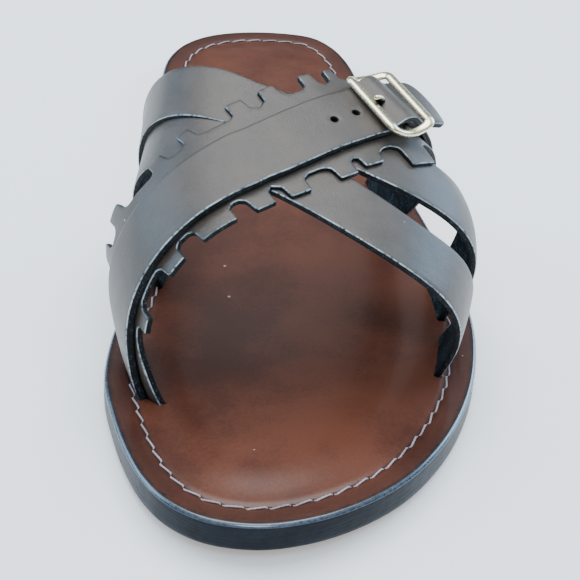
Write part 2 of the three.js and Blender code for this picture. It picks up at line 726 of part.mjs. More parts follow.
/** Returns the frame's outline in its own plane, as a rounded rectangle with bowed ends. */
function frameOutline() {
  const corners = [[1, 1], [-1, 1], [-1, -1], [1, -1]];
  const line = corners.flatMap(([alongSide, acrossSide], corner) => {
    const centreAlong = alongSide * (LONG_BAR_ALONG - FRAME_CORNER_RADIUS);
    const centreAcross = acrossSide * (FRAME_END_ACROSS - FRAME_CORNER_RADIUS);
    const arc = evenly(corner, corner + 1, CORNER_STEPS + 1).map((quarter) => [
      centreAlong + FRAME_CORNER_RADIUS * Math.cos(quarter * Math.PI / 2),
      centreAcross + FRAME_CORNER_RADIUS * Math.sin(quarter * Math.PI / 2),
    ]);
    const [nextAlong, nextAcross] = corners[(corner + 1) % corners.length];
    const after = [
      nextAlong * (alongSide === nextAlong ? LONG_BAR_ALONG : LONG_BAR_ALONG - FRAME_CORNER_RADIUS),
      nextAcross * (acrossSide === nextAcross ? FRAME_END_ACROSS : FRAME_END_ACROSS - FRAME_CORNER_RADIUS),
    ];
    const last = arc.at(-1);
    const side = evenly(0, 1, END_STEPS + 1).slice(1, -1).map((share) => (
      last.map((value, axis) => THREE.MathUtils.lerp(value, after[axis], share))
    ));
    return [...arc, ...side];
  });
  return line.map(([along, across]) => {
    const bow = (FRAME_END_BOW / FRAME_END_ACROSS) * (1 - (along / LONG_BAR_ALONG) ** 2);
    return [along, across * (1 + bow)];
  });
}

// Section of a frame bar: shares of its half width and half thickness, rounded above
const BAR_SECTION = [
  { wide: -0.75, high: -1 },
  { wide: -1, high: -0.6 },
  { wide: -1, high: 0.35 },
  { wide: -0.62, high: 0.92 },
  { wide: 0, high: 1 },
  { wide: 0.62, high: 0.92 },
  { wide: 1, high: 0.35 },
  { wide: 1, high: -0.6 },
  { wide: 0.75, high: -1 },
];

/** Returns the buckle's frame with its hinge bar. */
function buckleFrameGeometry() {
  const outline = frameOutline();
  const rings = outline.map(([along, across], index) => {
    const [beforeAlong, beforeAcross] = outline.at(index - 1);
    const [afterAlong, afterAcross] = outline[(index + 1) % outline.length];
    const outward = new THREE.Vector2(afterAcross - beforeAcross, beforeAlong - afterAlong);
    outward.normalize();
    const width = THREE.MathUtils.lerp(FRAME_END_WIDTH, FRAME_LONG_BAR_WIDTH, outward.x ** 2);
    return BAR_SECTION.map(({ wide, high }) => bucklePoint(
      along + outward.x * wide * width / 2,
      across + outward.y * wide * width / 2,
      frameUp(along) + high * FRAME_THICKNESS / 2,
    ));
  });
  const ring = toSolid(new LoftGeometry([...rings, rings[0]]));
  const reach = FRAME_END_ACROSS + FRAME_END_BOW;
  const bar = rod(bucklePoint(0, -reach, 0), bucklePoint(0, reach, 0), HINGE_BAR_DIAMETER / 2);
  return toGeometry(ring.add(bar));
}

// The prong turns on the hinge bar, rises through the strap and rests on the inner long bar
const PRONG_EYE_RADIUS = HINGE_BAR_DIAMETER / 2 + PRONG_GAP + PRONG_DIAMETER / 2;
const PRONG_REST_UP = INNER_BAR_UP + FRAME_THICKNESS / 2 + PRONG_GAP + PRONG_DIAMETER / 2;
const PRONG_KNEE = bucklePoint(-FRAME_OPENING / 2 + PRONG_DIAMETER / 2, 0, PRONG_REST_UP);
const PRONG_TIP = bucklePoint(-LONG_BAR_ALONG - PRONG_TIP_OVERHANG, 0, PRONG_REST_UP);

/** Returns the buckle's prong with its eye round the hinge bar. */
function buckleProngGeometry() {
  const half = PRONG_DIAMETER / 2;
  const hinge = bucklePoint(0, 0, 0);
  const eye = rod(bucklePoint(0, -half, 0), bucklePoint(0, half, 0), PRONG_EYE_RADIUS);
  const bore = rod(
    bucklePoint(0, -PRONG_DIAMETER, 0),
    bucklePoint(0, PRONG_DIAMETER, 0),
    HINGE_BAR_DIAMETER / 2 + PRONG_GAP,
  );
  const knee = new THREE.SphereGeometry(half, ROD_SIDES, ROD_SIDES / 2);
  knee.translate(...PRONG_KNEE.toArray());
  const shank = rod(hinge, PRONG_KNEE, half).add(toSolid(knee)).add(rod(PRONG_KNEE, PRONG_TIP, half));
  return toGeometry(eye.add(shank).subtract(bore));
}

/** Returns the buckled strap from its inner foot to its free end, with the holes for the prong. */
function buckledStrapGeometry() {
  const blank = toSolid(strapGeometry(buckledStrap, buckledStations()));
  const prongHole = rod(bucklePoint(0, 0, 0), PRONG_KNEE, PRONG_HOLE_DIAMETER / 2);
  const spareHoles = [1, 2].map((count) => {
    const around = aroundOf(-LONG_BAR_ALONG / 2 - count * HOLE_SPACING);
    const below = strapPoint(buckledPath, around, 0, NOTCHED_TOP(around));
    const above = strapPoint(buckledPath, around, 0, NOTCHED_TOP(around) + 2 * BUCKLED_THICKNESS);
    return rod(below, above, SPARE_HOLE_DIAMETER / 2);
  });
  return toGeometry([prongHole, ...spareHoles].reduce((solid, hole) => solid.subtract(hole), blank));
}

// The buckle strap is folded round the hinge bar; its two plies are sewn together
const FOLD_LENGTH = 4.5;
const buckleStrap = {
  path: buckledPath,
  front: () => BUCKLE_STRAP_WIDTH / 2,
  back: () => BUCKLE_STRAP_WIDTH / 2,
  under: (around) => NOTCHED_TOP(around) + UNDER_BUCKLE_GAP,
  thickness: (around) => {
    const flat = THREE.MathUtils.smoothstep(buckleAlong(around), 0, FOLD_LENGTH);
    return 2 * THREE.MathUtils.lerp(LOOP_OUTER_RADIUS, BUCKLE_PLY_THICKNESS, flat);
  },
  rounding: CUT_EDGE_ROUNDING,
  place: straightenedPoint,
};
const FOLD_STATIONS = 6;
const BUCKLE_STRAP_STATIONS = 15;

/** Returns the buckle strap from its fold round the hinge bar to its outer foot. */
function buckleStrapGeometry() {
  const strap = toSolid(strapGeometry(buckleStrap, [
    ...evenly(BUCKLE_AROUND, aroundOf(FOLD_LENGTH), FOLD_STATIONS).slice(0, -1),
    ...evenly(aroundOf(FOLD_LENGTH), 1, BUCKLE_STRAP_STATIONS),
    footEnd('outer', buckleStrap),
  ]));
  const half = BUCKLE_STRAP_WIDTH / 2;
  const fold = rod(bucklePoint(0, -half, 0), bucklePoint(0, half, 0), LOOP_OUTER_RADIUS);
  const hole = rod(bucklePoint(0, -2 * half, 0), bucklePoint(0, 2 * half, 0), LOOP_INNER_RADIUS);
  const slotHalf = PRONG_DIAMETER / 2 + SLOT_GAP;
  const reach = PRONG_EYE_RADIUS + SLOT_GAP;
  const slot = rod(bucklePoint(0, -slotHalf, 0), bucklePoint(0, slotHalf, 0), reach);
  return toGeometry(strap.add(fold).subtract(hole).subtract(slot));
}

const SLOT_OVERRUN = 4;
const SLOT_STATIONS = 5;

/** Returns a cutter for the slot that a strap's foot goes down through. */
function slotCutter(strap, side) {
  const away = side === 'inner' ? -1 : 1;
  const overrun = SLOT_OVERRUN / halfArch(side, pathY(strap.path, away)).getLength();
  const below = footEnd(side, strap) + away * overrun;
  const above = away * (1 - overrun);
  const widened = {
    ...strap,
    front: (around) => strap.front(around) + SLOT_GAP,
    back: (around) => strap.back(around) + SLOT_GAP,
    under: (around) => strap.under(around) - SLOT_GAP,
    thickness: (around) => strap.thickness(around) + 2 * SLOT_GAP,
  };
  const stations = [below, ...evenly(away, above, SLOT_STATIONS)].sort((a, b) => a - b);
  return toSolid(strapGeometry(widened, stations));
}

/** Returns the insole with the slots of all straps cut through it. */
function insoleGeometry() {
  const feet = [
    [rearStrap, 'inner'],
    [rearStrap, 'outer'],
    [frontStrap, 'inner'],
    [frontStrap, 'outer'],
    [notchedStrap, 'inner'],
    [notchedStrap, 'outer'],
    [buckledStrap, 'inner'],
    [buckleStrap, 'outer'],
  ];
  const cut = (solid, [strap, side]) => solid.subtract(slotCutter(strap, side));
  return toGeometry(feet.reduce(cut, toSolid(insoleBlank())));
}

/** Returns a named mesh with its own material. */
function piece(name, geometry, color, roughness, metalness = 0) {
  const material = new THREE.MeshStandardMaterial({ color, roughness, metalness });
  const mesh = new THREE.Mesh(geometry, material);
  mesh.name = name;
  return mesh;
}

const sandal = new THREE.Group();
sandal.add(
  piece('outsole', outsoleGeometry(), 0x15171c, 0.45),
  piece('insole', insoleGeometry(), 0x3d1f18, 0.35),
  piece('upper', upperGeometry(), 0x4a443f, 0.45),
  piece('buckled_strap', buckledStrapGeometry(), 0x4c4641, 0.45),
  piece('buckle_strap', buckleStrapGeometry(), 0x4c4641, 0.45),
  piece('buckle_frame', buckleFrameGeometry(), 0xc9bd8f, 0.3, 1),
  piece('buckle_prong', buckleProngGeometry(), 0xc9bd8f, 0.3, 1),
);

export default sandal;
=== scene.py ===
"""Looks of a leather slide sandal for the left foot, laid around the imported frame.

The pieces are leather sheets that are cut out flat and laid on the sole or over the last, a line of
thread round the footbed, and a cast buckle. Sizes are in millimetres until a mesh is made.
"""

import logging
import math
from collections.abc import Callable
from dataclasses import dataclass, field
from enum import Enum
from typing import Any

import bpy
import numpy as np
from mathutils import Matrix, Vector
from mathutils.geometry import delaunay_2d_cdt


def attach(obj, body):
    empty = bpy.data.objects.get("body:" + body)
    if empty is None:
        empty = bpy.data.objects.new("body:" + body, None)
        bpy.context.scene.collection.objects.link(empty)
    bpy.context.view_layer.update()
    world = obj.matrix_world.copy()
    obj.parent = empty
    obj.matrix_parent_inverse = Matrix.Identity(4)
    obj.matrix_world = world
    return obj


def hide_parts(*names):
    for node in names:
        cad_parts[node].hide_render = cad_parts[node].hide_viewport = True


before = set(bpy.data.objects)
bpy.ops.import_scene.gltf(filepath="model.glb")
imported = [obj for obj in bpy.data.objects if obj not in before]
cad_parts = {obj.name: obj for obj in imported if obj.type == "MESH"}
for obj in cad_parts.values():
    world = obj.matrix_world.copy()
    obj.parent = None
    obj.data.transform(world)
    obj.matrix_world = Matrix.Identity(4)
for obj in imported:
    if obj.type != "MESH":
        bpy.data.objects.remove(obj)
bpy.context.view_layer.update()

log = logging.getLogger("sandal")

Array = np.ndarray
METRE = 0.001
MM_PER_METRE = 1000.0
BORDER_CLEARANCE = 0.45
WIDEST_CLEARED_SPACING = 1.2
SHARP_ANGLE = 52.0


def smoothstep(value: Array, low: float, high: float) -> Array:
    """Returns a smooth rise from 0 at low to 1 at high."""
    share = np.clip((np.asarray(value, float) - low) / (high - low), 0, 1)
    return share * share * (3 - 2 * share)


def unit(vectors: Array) -> Array:
    """Returns the vectors at length 1."""
    size = np.linalg.norm(vectors, axis=-1, keepdims=True)
    return vectors / np.maximum(size, 1e-12)


@dataclass(frozen=True)
class Table:
    """Short table of sizes that is read smoothly between its rows.

    Attributes:
        columns: Names of the columns; the first one is the place of a row.
        rows: The rows, with growing places.
    """

    columns: tuple[str, ...]
    rows: tuple[tuple[float, ...], ...]

    def at(self, places: Array) -> dict[str, Array]:
        """Reads every column at the given places.

        Args:
            places: Places on the table's first column; beyond its ends the end rows hold.

        Returns:
            The columns by name, each as long as places.
        """
        values = np.array(self.rows, float)
        knots = values[:, 0]
        held = np.clip(np.asarray(places, float), knots[0], knots[-1])
        row = np.clip(np.searchsorted(knots, held, side="right") - 1, 0, len(knots) - 2)
        before = np.where(row > 0, row - 1, row + 1)
        after = np.where(row < len(knots) - 2, row + 2, row)
        start, end = knots[row], knots[row + 1]
        half = (end - start) / 2
        pull = half / (start - knots[before])
        push = half / (knots[after] - end)
        u = (held - start) / (end - start)
        weights = (
            (before, -pull * u**3 + 2 * pull * u**2 - pull * u),
            (row, (1 + pull) * u**3 + (-1.5 - 2 * pull) * u**2 + (-0.5 + pull) * u + 1),
            (row + 1, (-1 - push) * u**3 + (1.5 + push) * u**2 + 0.5 * u),
            (after, push * u**3 - push * u**2),
        )
        return {
            name: sum(weight * values[index, column] for index, weight in weights)
            for column, name in enumerate(self.columns)
        }


# Flat outlines


def closed_length(loop: Array) -> Array:
    """Returns the running length of a closed loop, starting at 0 and ending at its full length."""
    steps = np.linalg.norm(np.roll(loop, -1, axis=0) - loop, axis=1)
    return np.concatenate([[0.0], np.cumsum(steps)])


def respaced(loop: Array, spacing: float) -> Array:
    """Returns a closed loop with a point at every spacing along it."""
    length = closed_length(loop)
    ring = np.vstack([loop, loop[:1]])
    places = np.linspace(0, length[-1], max(8, round(length[-1] / spacing)) + 1)[:-1]
    return np.column_stack([np.interp(places, length, ring[:, axis]) for axis in (0, 1)])


def split_long(loop: Array, longest: float) -> Array:
    """Returns a closed loop whose long steps are split and whose corners all stay."""
    points = []
    for start, end in zip(loop, np.roll(loop, -1, axis=0)):
        count = max(1, math.ceil(float(np.linalg.norm(end - start)) / longest))
        points.extend(start + (end - start) * step / count for step in range(count))
    return np.array(points)


def rounded(loop: Array, radius: float) -> Array:
    """Rounds the corners of a closed loop.

    Args:
        loop: Corners of the loop.
        radius: Length that is cut from each side of a corner.

    Returns:
        The loop with a short curve at each corner that turns clearly.
    """
    points = []
    for before, corner, after in zip(np.roll(loop, 1, axis=0), loop, np.roll(loop, -1, axis=0)):
        into, out = before - corner, after - corner
        into_size, out_size = np.linalg.norm(into), np.linalg.norm(out)
        if np.dot(into, out) / (into_size * out_size) < math.cos(math.radians(172)):
            points.append(corner)
            continue
        start = corner + into * min(radius, 0.45 * into_size) / into_size
        end = corner + out * min(radius, 0.45 * out_size) / out_size
        for share in (0.0, 0.25, 0.5, 0.75, 1.0):
            points.append(
                (1 - share) ** 2 * start + 2 * share * (1 - share) * corner + share**2 * end
            )
    return np.array(points)


def inset(loop: Array, distance: float) -> Array:
    """Returns a closed loop moved to its left side, into the sheet, by a distance."""
    ahead = unit(np.roll(loop, -1, axis=0) - loop)
    behind = np.roll(ahead, 1, axis=0)
    normal = np.column_stack([-(ahead + behind)[:, 1], (ahead + behind)[:, 0]])
    normal = unit(normal)
    spread = np.clip((normal * np.column_stack([-ahead[:, 1], ahead[:, 0]])).sum(1), 0.7, 1)
    return loop + normal * (distance / spread)[:, None]


def is_inside(points: Array, loops: list[Array]) -> Array:
    """Returns which points lie inside the first loop and outside the others."""
    crossings = np.zeros(len(points), int)
    for loop in loops:
        start, end = loop, np.roll(loop, -1, axis=0)
        for (x0, y0), (x1, y1) in zip(start, end):
            spans = (points[:, 1] < y0) != (points[:, 1] < y1)
            if y0 != y1:
                x = x0 + (points[:, 1] - y0) * (x1 - x0) / (y1 - y0)
                crossings += spans & (points[:, 0] < x)
    return crossings % 2 == 1


def edge_distance(points: Array, loop: Array) -> Array:
    """Returns the distance of each point from a closed loop."""
    start, step = loop, np.roll(loop, -1, axis=0) - loop
    best = np.full(len(points), np.inf)
    for origin, along in zip(start, step):
        away = points - origin
        share = np.clip((away @ along) / max(float(along @ along), 1e-12), 0, 1)
        best = np.minimum(best, np.linalg.norm(away - share[:, None] * along, axis=1))
    return best


# Meshes


class Side(Enum):
    """Sides of a leather sheet, in the order of its material slots."""

    GRAIN = 0
    CUT = 1
    FLESH = 2
    RIM = 3


@dataclass
class MeshPlan:
    """Points, faces and named values of a mesh that is being put together, in millimetres."""

    points: list[Array] = field(default_factory=list)
    faces: list[tuple[int, ...]] = field(default_factory=list)
    sides: list[int] = field(default_factory=list)
    values: dict[str, list[Array]] = field(default_factory=dict)

    def count(self) -> int:
        """Returns the number of points so far."""
        return sum(len(block) for block in self.points)

    def add_points(self, points: Array, **values: Array) -> int:
        """Adds points with their named values and returns the number of the first one."""
        first = self.count()
        self.points.append(points)
        for name, value in values.items():
            self.values.setdefault(name, []).append(np.broadcast_to(value, len(points)))
        return first

    def add_faces(self, faces: list[tuple[int, ...]], side: int = 0) -> None:
        """Adds faces that take one material slot."""
        self.faces.extend(faces)
        self.sides.extend([side] * len(faces))

    def add_tube(self, rings: Array, side: int = 0, closed: bool = False) -> None:
        """Adds a tube through rings of points.

        Args:
            rings: Points by ring, point of the ring and axis.
            side: Material slot of the faces.
            closed: Whether the last ring joins the first one; an open tube gets flat ends.
        """
        ring_count, size = rings.shape[:2]
        first = self.add_points(rings.reshape(-1, 3))
        bands = ring_count if closed else ring_count - 1
        quads = []
        for ring in range(bands):
            here, there = first + ring * size, first + (ring + 1) % ring_count * size
            for point in range(size):
                ahead = (point + 1) % size
                quads.append((here + point, here + ahead, there + ahead, there + point))
        self.add_faces(quads, side)
        if not closed:
            last = first + (ring_count - 1) * size
            self.add_faces([tuple(reversed(range(first, first + size)))], side)
            self.add_faces([tuple(range(last, last + size))], side)

    def build(self, name: str, materials: list[bpy.types.Material]) -> bpy.types.Object:
        """Makes the object.

        Args:
            name: Name of the piece.
            materials: Materials in the order of the slots.

        Returns:
            The object, in metres, in the frame's own place.
        """
        mesh = bpy.data.meshes.new(name)
        mesh.from_pydata((np.vstack(self.points) * METRE).tolist(), [], self.faces)
        for material in materials:
            mesh.materials.append(material)
        mesh.polygons.foreach_set("material_index", self.sides)
        mesh.polygons.foreach_set("use_smooth", [True] * len(self.faces))
        for key, blocks in self.values.items():
            layer = mesh.attributes.new(key, "FLOAT", "POINT")
            layer.data.foreach_set("value", np.concatenate(blocks).astype(np.float32))
        mesh.update()
        mesh.set_sharp_from_angle(angle=math.radians(SHARP_ANGLE))
        piece = bpy.data.objects.new(name, mesh)
        bpy.context.scene.collection.objects.link(piece)
        return piece


@dataclass(frozen=True)
class RimRow:
    """One line round a cut edge.

    Attributes:
        inset: How far it lies inside the outline.
        up: Its share of the height.
        side: Surface of the band between it and the line above.
    """

    inset: float
    up: float
    side: Side = Side.CUT


@dataclass
class Sheet:
    """A leather sheet that is cut out flat, with its holes, and then laid in place.

    Attributes:
        outline: Outline of the sheet, anticlockwise.
        lay: Gives points in space for flat points, shares of the height and distances from the
            outline.
        rim: Lines round the outline, from the grain side to the flesh side.
        spacing: Distance between the points inside.
        holes: Outlines of the holes, clockwise.
        hole_rim: Lines round each hole.
        contours: Distances from the outline at which more points lie.
        contour_spacing: Distance between the points on a contour.
    """

    outline: Array
    lay: Callable[[Array, Array, Array], Array]
    rim: tuple[RimRow, ...]
    spacing: float
    holes: list[Array] = field(default_factory=list)
    hole_rim: tuple[RimRow, ...] = ()
    contours: tuple[float, ...] = ()
    contour_spacing: float = 1.5

    def plan(self) -> MeshPlan:
        """Returns the sheet's closed mesh."""
        rims = [self.rim] + [self.hole_rim] * len(self.holes)
        outlines = [self.outline, *self.holes]
        borders = [inset(loop, rim[0].inset) for loop, rim in zip(outlines, rims)]
        flat, triangles, border_ids = self._filled(borders)
        edge = edge_distance(flat, self.outline)
        plan = MeshPlan()
        top = self._place(plan, flat, 1.0, edge)
        bottom = self._place(plan, flat, 0.0, edge)
        plan.add_faces([tuple(top + corner for corner in t) for t in triangles], Side.GRAIN.value)
        flesh = [tuple(bottom + corner for corner in reversed(t)) for t in triangles]
        plan.add_faces(flesh, Side.FLESH.value)
        for loop, rim, ids in zip(outlines, rims, border_ids):
            self._close(plan, loop, rim, [top + i for i in ids], [bottom + i for i in ids])
        return plan

    def _filled(self, borders: list[Array]) -> tuple[Array, list[tuple[int, ...]], list[list[int]]]:
        """Fills the flat sheet with triangles.

        Args:
            borders: Outlines of the sheet and of its holes.

        Returns:
            The flat points, the triangles, and the numbers of each border's points.
        """
        low, high = borders[0].min(0), borders[0].max(0)
        lines = [inset(self.outline, distance) for distance in self.contours]
        extra = [respaced(line, self.contour_spacing) for line in lines]
        row_height = self.spacing * math.sqrt(3) / 2
        reach = max(self.contours, default=0.0)
        for row, y in enumerate(np.arange(low[1], high[1], row_height)):
            xs = np.arange(low[0] + (row % 2) * self.spacing / 2, high[0], self.spacing)
            line = np.column_stack([xs, np.full(len(xs), y)])
            if reach:
                line = line[edge_distance(line, self.outline) > reach + self.spacing / 2]
            extra.append(line)
        inner = np.vstack(extra)
        inner = inner[is_inside(inner, borders)]
        for border in borders:
            clear = BORDER_CLEARANCE * min(self.spacing, WIDEST_CLEARED_SPACING)
            inner = inner[edge_distance(inner, border) > clear]
        first = 0
        edges: list[tuple[int, int]] = []
        wanted: list[range] = []
        for border in borders:
            ids = range(first, first + len(border))
            edges.extend((i, first + (i - first + 1) % len(border)) for i in ids)
            wanted.append(ids)
            first += len(border)
        points = np.vstack([*borders, inner])
        corners, _, faces, origins, _, _ = delaunay_2d_cdt(
            [Vector(point) for point in points], edges, [], 0, 1e-6, True
        )
        flat = np.array(corners)
        number = {origin: i for i, found in enumerate(origins) for origin in found}
        centres = flat[np.array(faces)].mean(1)
        kept = is_inside(centres, borders)
        triangles = [tuple(face) for face, keep in zip(faces, kept) if keep]
        return flat, triangles, [[number[i] for i in ids] for ids in wanted]

    def _place(self, plan: MeshPlan, flat: Array, up: float, edge: Array) -> int:
        """Lays flat points at one height, adds them to a plan and returns the first number."""
        placed = self.lay(flat, np.full(len(flat), up), edge)
        return plan.add_points(placed, edge=edge, along=flat[:, 0], across=flat[:, 1])

    def _close(
        self,
        plan: MeshPlan,
        loop: Array,
        rim: tuple[RimRow, ...],
        top: list[int],
        bottom: list[int],
    ) -> None:
        """Closes one cut edge between the grain side and the flesh side."""
        upper = top
        for step, row in enumerate(rim[1:], 1):
            if step == len(rim) - 1:
                lower = bottom
            else:
                ring = inset(loop, row.inset)
                first = self._place(plan, ring, row.up, np.full(len(ring), row.inset))
                lower = list(range(first, first + len(ring)))
            size = len(loop)
            quads = [
                (upper[i], lower[i], lower[(i + 1) % size], upper[(i + 1) % size])
                for i in range(size)
            ]
            plan.add_faces(quads, row.side.value)
            upper = lower


# Shader parts


class Board:
    """Adds and links the nodes of one node tree."""

    def __init__(self, tree: bpy.types.NodeTree) -> None:
        """Keeps the tree that the nodes go into."""
        self.tree = tree

    def feed(self, socket: bpy.types.NodeSocket, value: Any) -> None:
        """Links a socket to another socket, or sets its value."""
        if isinstance(value, bpy.types.NodeSocket):
            self.tree.links.new(value, socket)
        else:
            socket.default_value = value

    def add(
        self, kind: str, inputs: dict[Any, Any] | None = None, **settings: Any
    ) -> bpy.types.Node:
        """Adds a node.

        Args:
            kind: Name of the node's type.
            inputs: Values or sockets for the node's own sockets, by name or number.
            settings: Settings of the node.

        Returns:
            The node.
        """
        node = self.tree.nodes.new(kind)
        for name, value in settings.items():
            setattr(node, name, value)
        for name, value in (inputs or {}).items():
            self.feed(node.inputs[name], value)
        return node

    def math(self, operation: str, first: Any, second: Any = 0.0, clamp: bool = False) -> Any:
        """Returns the socket of a sum, product or other operation on two numbers."""
        node = self.add("ShaderNodeMath", {0: first, 1: second}, operation=operation)
        node.use_clamp = clamp
        return node.outputs[0]

    def span(self, value: Any, low: float, high: float) -> Any:
        """Returns the socket of a smooth rise from 0 at low to 1 at high."""
        inputs = {"Value": value, "From Min": low, "From Max": high}
        return self.add(
            "ShaderNodeMapRange", inputs, interpolation_type="SMOOTHSTEP"
        ).outputs["Result"]

    def blend(self, factor: Any, first: Any, second: Any) -> Any:
        """Returns the socket of a colour between two colours."""
        return self.add(
            "ShaderNodeMix", {0: factor, 6: first, 7: second}, data_type="RGBA"
        ).outputs[2]

    def between(self, factor: Any, first: float, second: float) -> Any:
        """Returns the socket of a number between two numbers."""
        return self.add("ShaderNodeMix", {0: factor, 2: first, 3: second}).outputs[0]

    def place(self) -> Any:
        """Returns the socket of a point's place on the object, in metres."""
        return self.add("ShaderNodeTexCoord").outputs["Object"]

    def value(self, name: str) -> Any:
        """Returns the socket of a value that the mesh carries, such as the edge's distance."""
        return self.add("ShaderNodeAttribute", attribute_name=name).outputs["Fac"]

    def noise(self, vector: Any, size: Any, detail: float = 3.0, rough: float = 0.5) -> Any:
        """Returns the socket of cloudy noise whose spots have a size in millimetres."""
        plain = isinstance(size, float)
        scale = MM_PER_METRE / size if plain else self.math("DIVIDE", MM_PER_METRE, size)
        inputs = {"Vector": vector, "Detail": detail, "Roughness": rough, "Scale": scale}
        return self.add("ShaderNodeTexNoise", inputs).outputs["Fac"]

    def bump(self, height: Any, distance: float, normal: Any = None, strength: float = 1.0) -> Any:
        """Returns the socket of a normal that a height in shares of a distance gives."""
        inputs = {"Height": height, "Distance": distance * METRE, "Strength": strength}
        if normal is not None:
            inputs["Normal"] = normal
        return self.add("ShaderNodeBump", inputs).outputs["Normal"]


class Effect(Enum):
    """Effects that several finishes share, each of them one node group."""

    GRAIN = "leather_grain"
    WEAR = "edge_wear"
    SCUFFS = "fine_scuffs"
    MOTTLE = "dye_mottle"
    DUST = "dust_specks"


def make_grain(board: Board, given: Any) -> dict[str, Any]:
    """Returns the sockets of a pebbled grain: its height, and a mask of its pores."""
    place = board.place()
    warp = board.add("ShaderNodeTexNoise", {"Vector": place, "Scale": 500.0})
    shift = board.add(
        "ShaderNodeVectorMath", {0: warp.outputs["Color"], "Scale": 0.0006}, operation="SCALE"
    ).outputs["Vector"]
    moved = board.add("ShaderNodeVectorMath", {0: place, 1: shift}, operation="ADD").outputs[0]
    scale = board.math("DIVIDE", MM_PER_METRE, given["Cell"])
    inputs = {"Vector": moved, "Scale": scale}
    cells = board.add("ShaderNodeTexVoronoi", inputs, feature="SMOOTH_F1")
    fine = board.noise(place, board.math("MULTIPLY", given["Cell"], 0.4), 2.0)
    height = board.math("SUBTRACT", fine, board.math("MULTIPLY", cells.outputs["Distance"], 0.7))
    pore_size = board.math("MULTIPLY", given["Cell"], 0.8)
    pores = board.span(board.noise(place, pore_size, 1.0), 0.66, 0.76)
    deep = board.math("SUBTRACT", height, board.math("MULTIPLY", pores, given["Pores"]))
    return {"Height": deep, "Mask": pores}


def make_wear(board: Board, given: Any) -> dict[str, Any]:
    """Returns the socket of a ragged band along the cut edge of a sheet."""
    ragged = board.noise(board.place(), 2.6, 3.0)
    moved = board.math("MULTIPLY", board.math("SUBTRACT", ragged, 0.5), given["Raggedness"])
    distance = board.math("ADD", board.value("edge"), moved)
    share = board.math("DIVIDE", distance, given["Width"])
    return {"Mask": board.math("SUBTRACT", 1.0, board.span(share, 0.25, 1.0))}


def make_scuffs(board: Board, given: Any) -> dict[str, Any]:
    """Returns the socket of fine scuffs that run along a sheet."""
    along = board.math("MULTIPLY", board.value("along"), 0.06)
    across = board.math("MULTIPLY", board.value("across"), 1.1)
    flat = board.add("ShaderNodeCombineXYZ", {"X": along, "Y": across}).outputs[0]
    lines = board.add("ShaderNodeTexNoise", {"Vector": flat, "Scale": 1.6, "Detail": 3.0})
    patches = board.noise(board.place(), 16.0, 2.0)
    marks = board.span(lines.outputs["Fac"], 0.6, 0.74)
    share = board.math("MULTIPLY", marks, board.span(patches, 0.42, 0.62))
    return {"Mask": board.math("MULTIPLY", share, given["Amount"])}


def make_mottle(board: Board, given: Any) -> dict[str, Any]:
    """Returns the socket of the uneven take of the dye, from 0 to 1."""
    wide = board.noise(board.place(), given["Size"], 4.0, 0.55)
    fine = board.noise(board.place(), 1.1, 2.0)
    mixed = board.math("ADD", board.math("MULTIPLY", wide, 0.8), board.math("MULTIPLY", fine, 0.2))
    return {"Value": board.span(mixed, 0.36, 0.64)}


def make_dust(board: Board, given: Any) -> dict[str, Any]:
    """Returns the socket of a few tiny specks of dust."""
    place = board.place()
    scale = board.math("DIVIDE", MM_PER_METRE, given["Spacing"])
    cells = board.add("ShaderNodeTexVoronoi", {"Vector": place, "Scale": scale})
    parts = board.add("ShaderNodeSeparateColor", {0: cells.outputs["Color"]}).outputs
    size = board.math("MULTIPLY", parts[0], 0.05)
    speck = board.math("LESS_THAN", cells.outputs["Distance"], size)
    return {"Mask": board.math("MULTIPLY", speck, board.math("GREATER_THAN", parts[1], 0.5))}


EFFECT_PARTS = {
    Effect.DUST: (make_dust, {"Spacing": 7.0}, ("Mask",)),
    Effect.GRAIN: (make_grain, {"Cell": 1.0, "Pores": 0.4}, ("Height", "Mask")),
    Effect.WEAR: (make_wear, {"Width": 1.0, "Raggedness": 0.5}, ("Mask",)),
    Effect.SCUFFS: (make_scuffs, {"Amount": 1.0}, ("Mask",)),
    Effect.MOTTLE: (make_mottle, {"Size": 12.0}, ("Value",)),
}


def effect_group(effect: Effect) -> bpy.types.NodeTree:
    """Builds an effect's node group, or finds it if it is there already.

    Args:
        effect: The effect.

    Returns:
        The node group, with named inputs and outputs.
    """
    found = bpy.data.node_groups.get(effect.value)
    if found:
        return found
    make, defaults, outputs = EFFECT_PARTS[effect]
    tree = bpy.data.node_groups.new(effect.value, "ShaderNodeTree")
    for name, default in defaults.items():
        socket = tree.interface.new_socket(name, in_out="INPUT", socket_type="NodeSocketFloat")
        socket.default_value = default
    for name in outputs:
        tree.interface.new_socket(name, in_out="OUTPUT", socket_type="NodeSocketFloat")
    board = Board(tree)
    given = board.add("NodeGroupInput").outputs
    made = make(board, given)
    board.add("NodeGroupOutput", made)
    return tree


@dataclass(frozen=True)
class Finish:
    """A finish of one surface.

    Attributes:
        name: Name of the material.
    """

    name: str

    def material(self) -> bpy.types.Material:
        """Builds the material, or finds it if another piece has it already."""
        found = bpy.data.materials.get(self.name)
        if found:
            return found
        material = bpy.data.materials.new(self.name)
        material.use_nodes = True
        material.node_tree.nodes.clear()
        board = Board(material.node_tree)
        shader = board.add("ShaderNodeBsdfPrincipled")
        out = board.add("ShaderNodeOutputMaterial")
        board.tree.links.new(shader.outputs[0], out.inputs[0])
        for name, value in self.looks(board).items():
            board.feed(shader.inputs[name], value)
        return material

    def looks(self, board: Board) -> dict[str, Any]:
        """Returns the values and sockets of the shader, by the names of its sockets."""
        raise NotImplementedError

    def effect(self, board: Board, effect: Effect, **inputs: float) -> Any:
        """Places an effect's node group and returns its outputs."""
        node = board.add("ShaderNodeGroup", node_tree=effect_group(effect))
        for name, value in inputs.items():
            board.feed(node.inputs[name], value)
        return node.outputs


Colour = tuple[float, float, float, float]


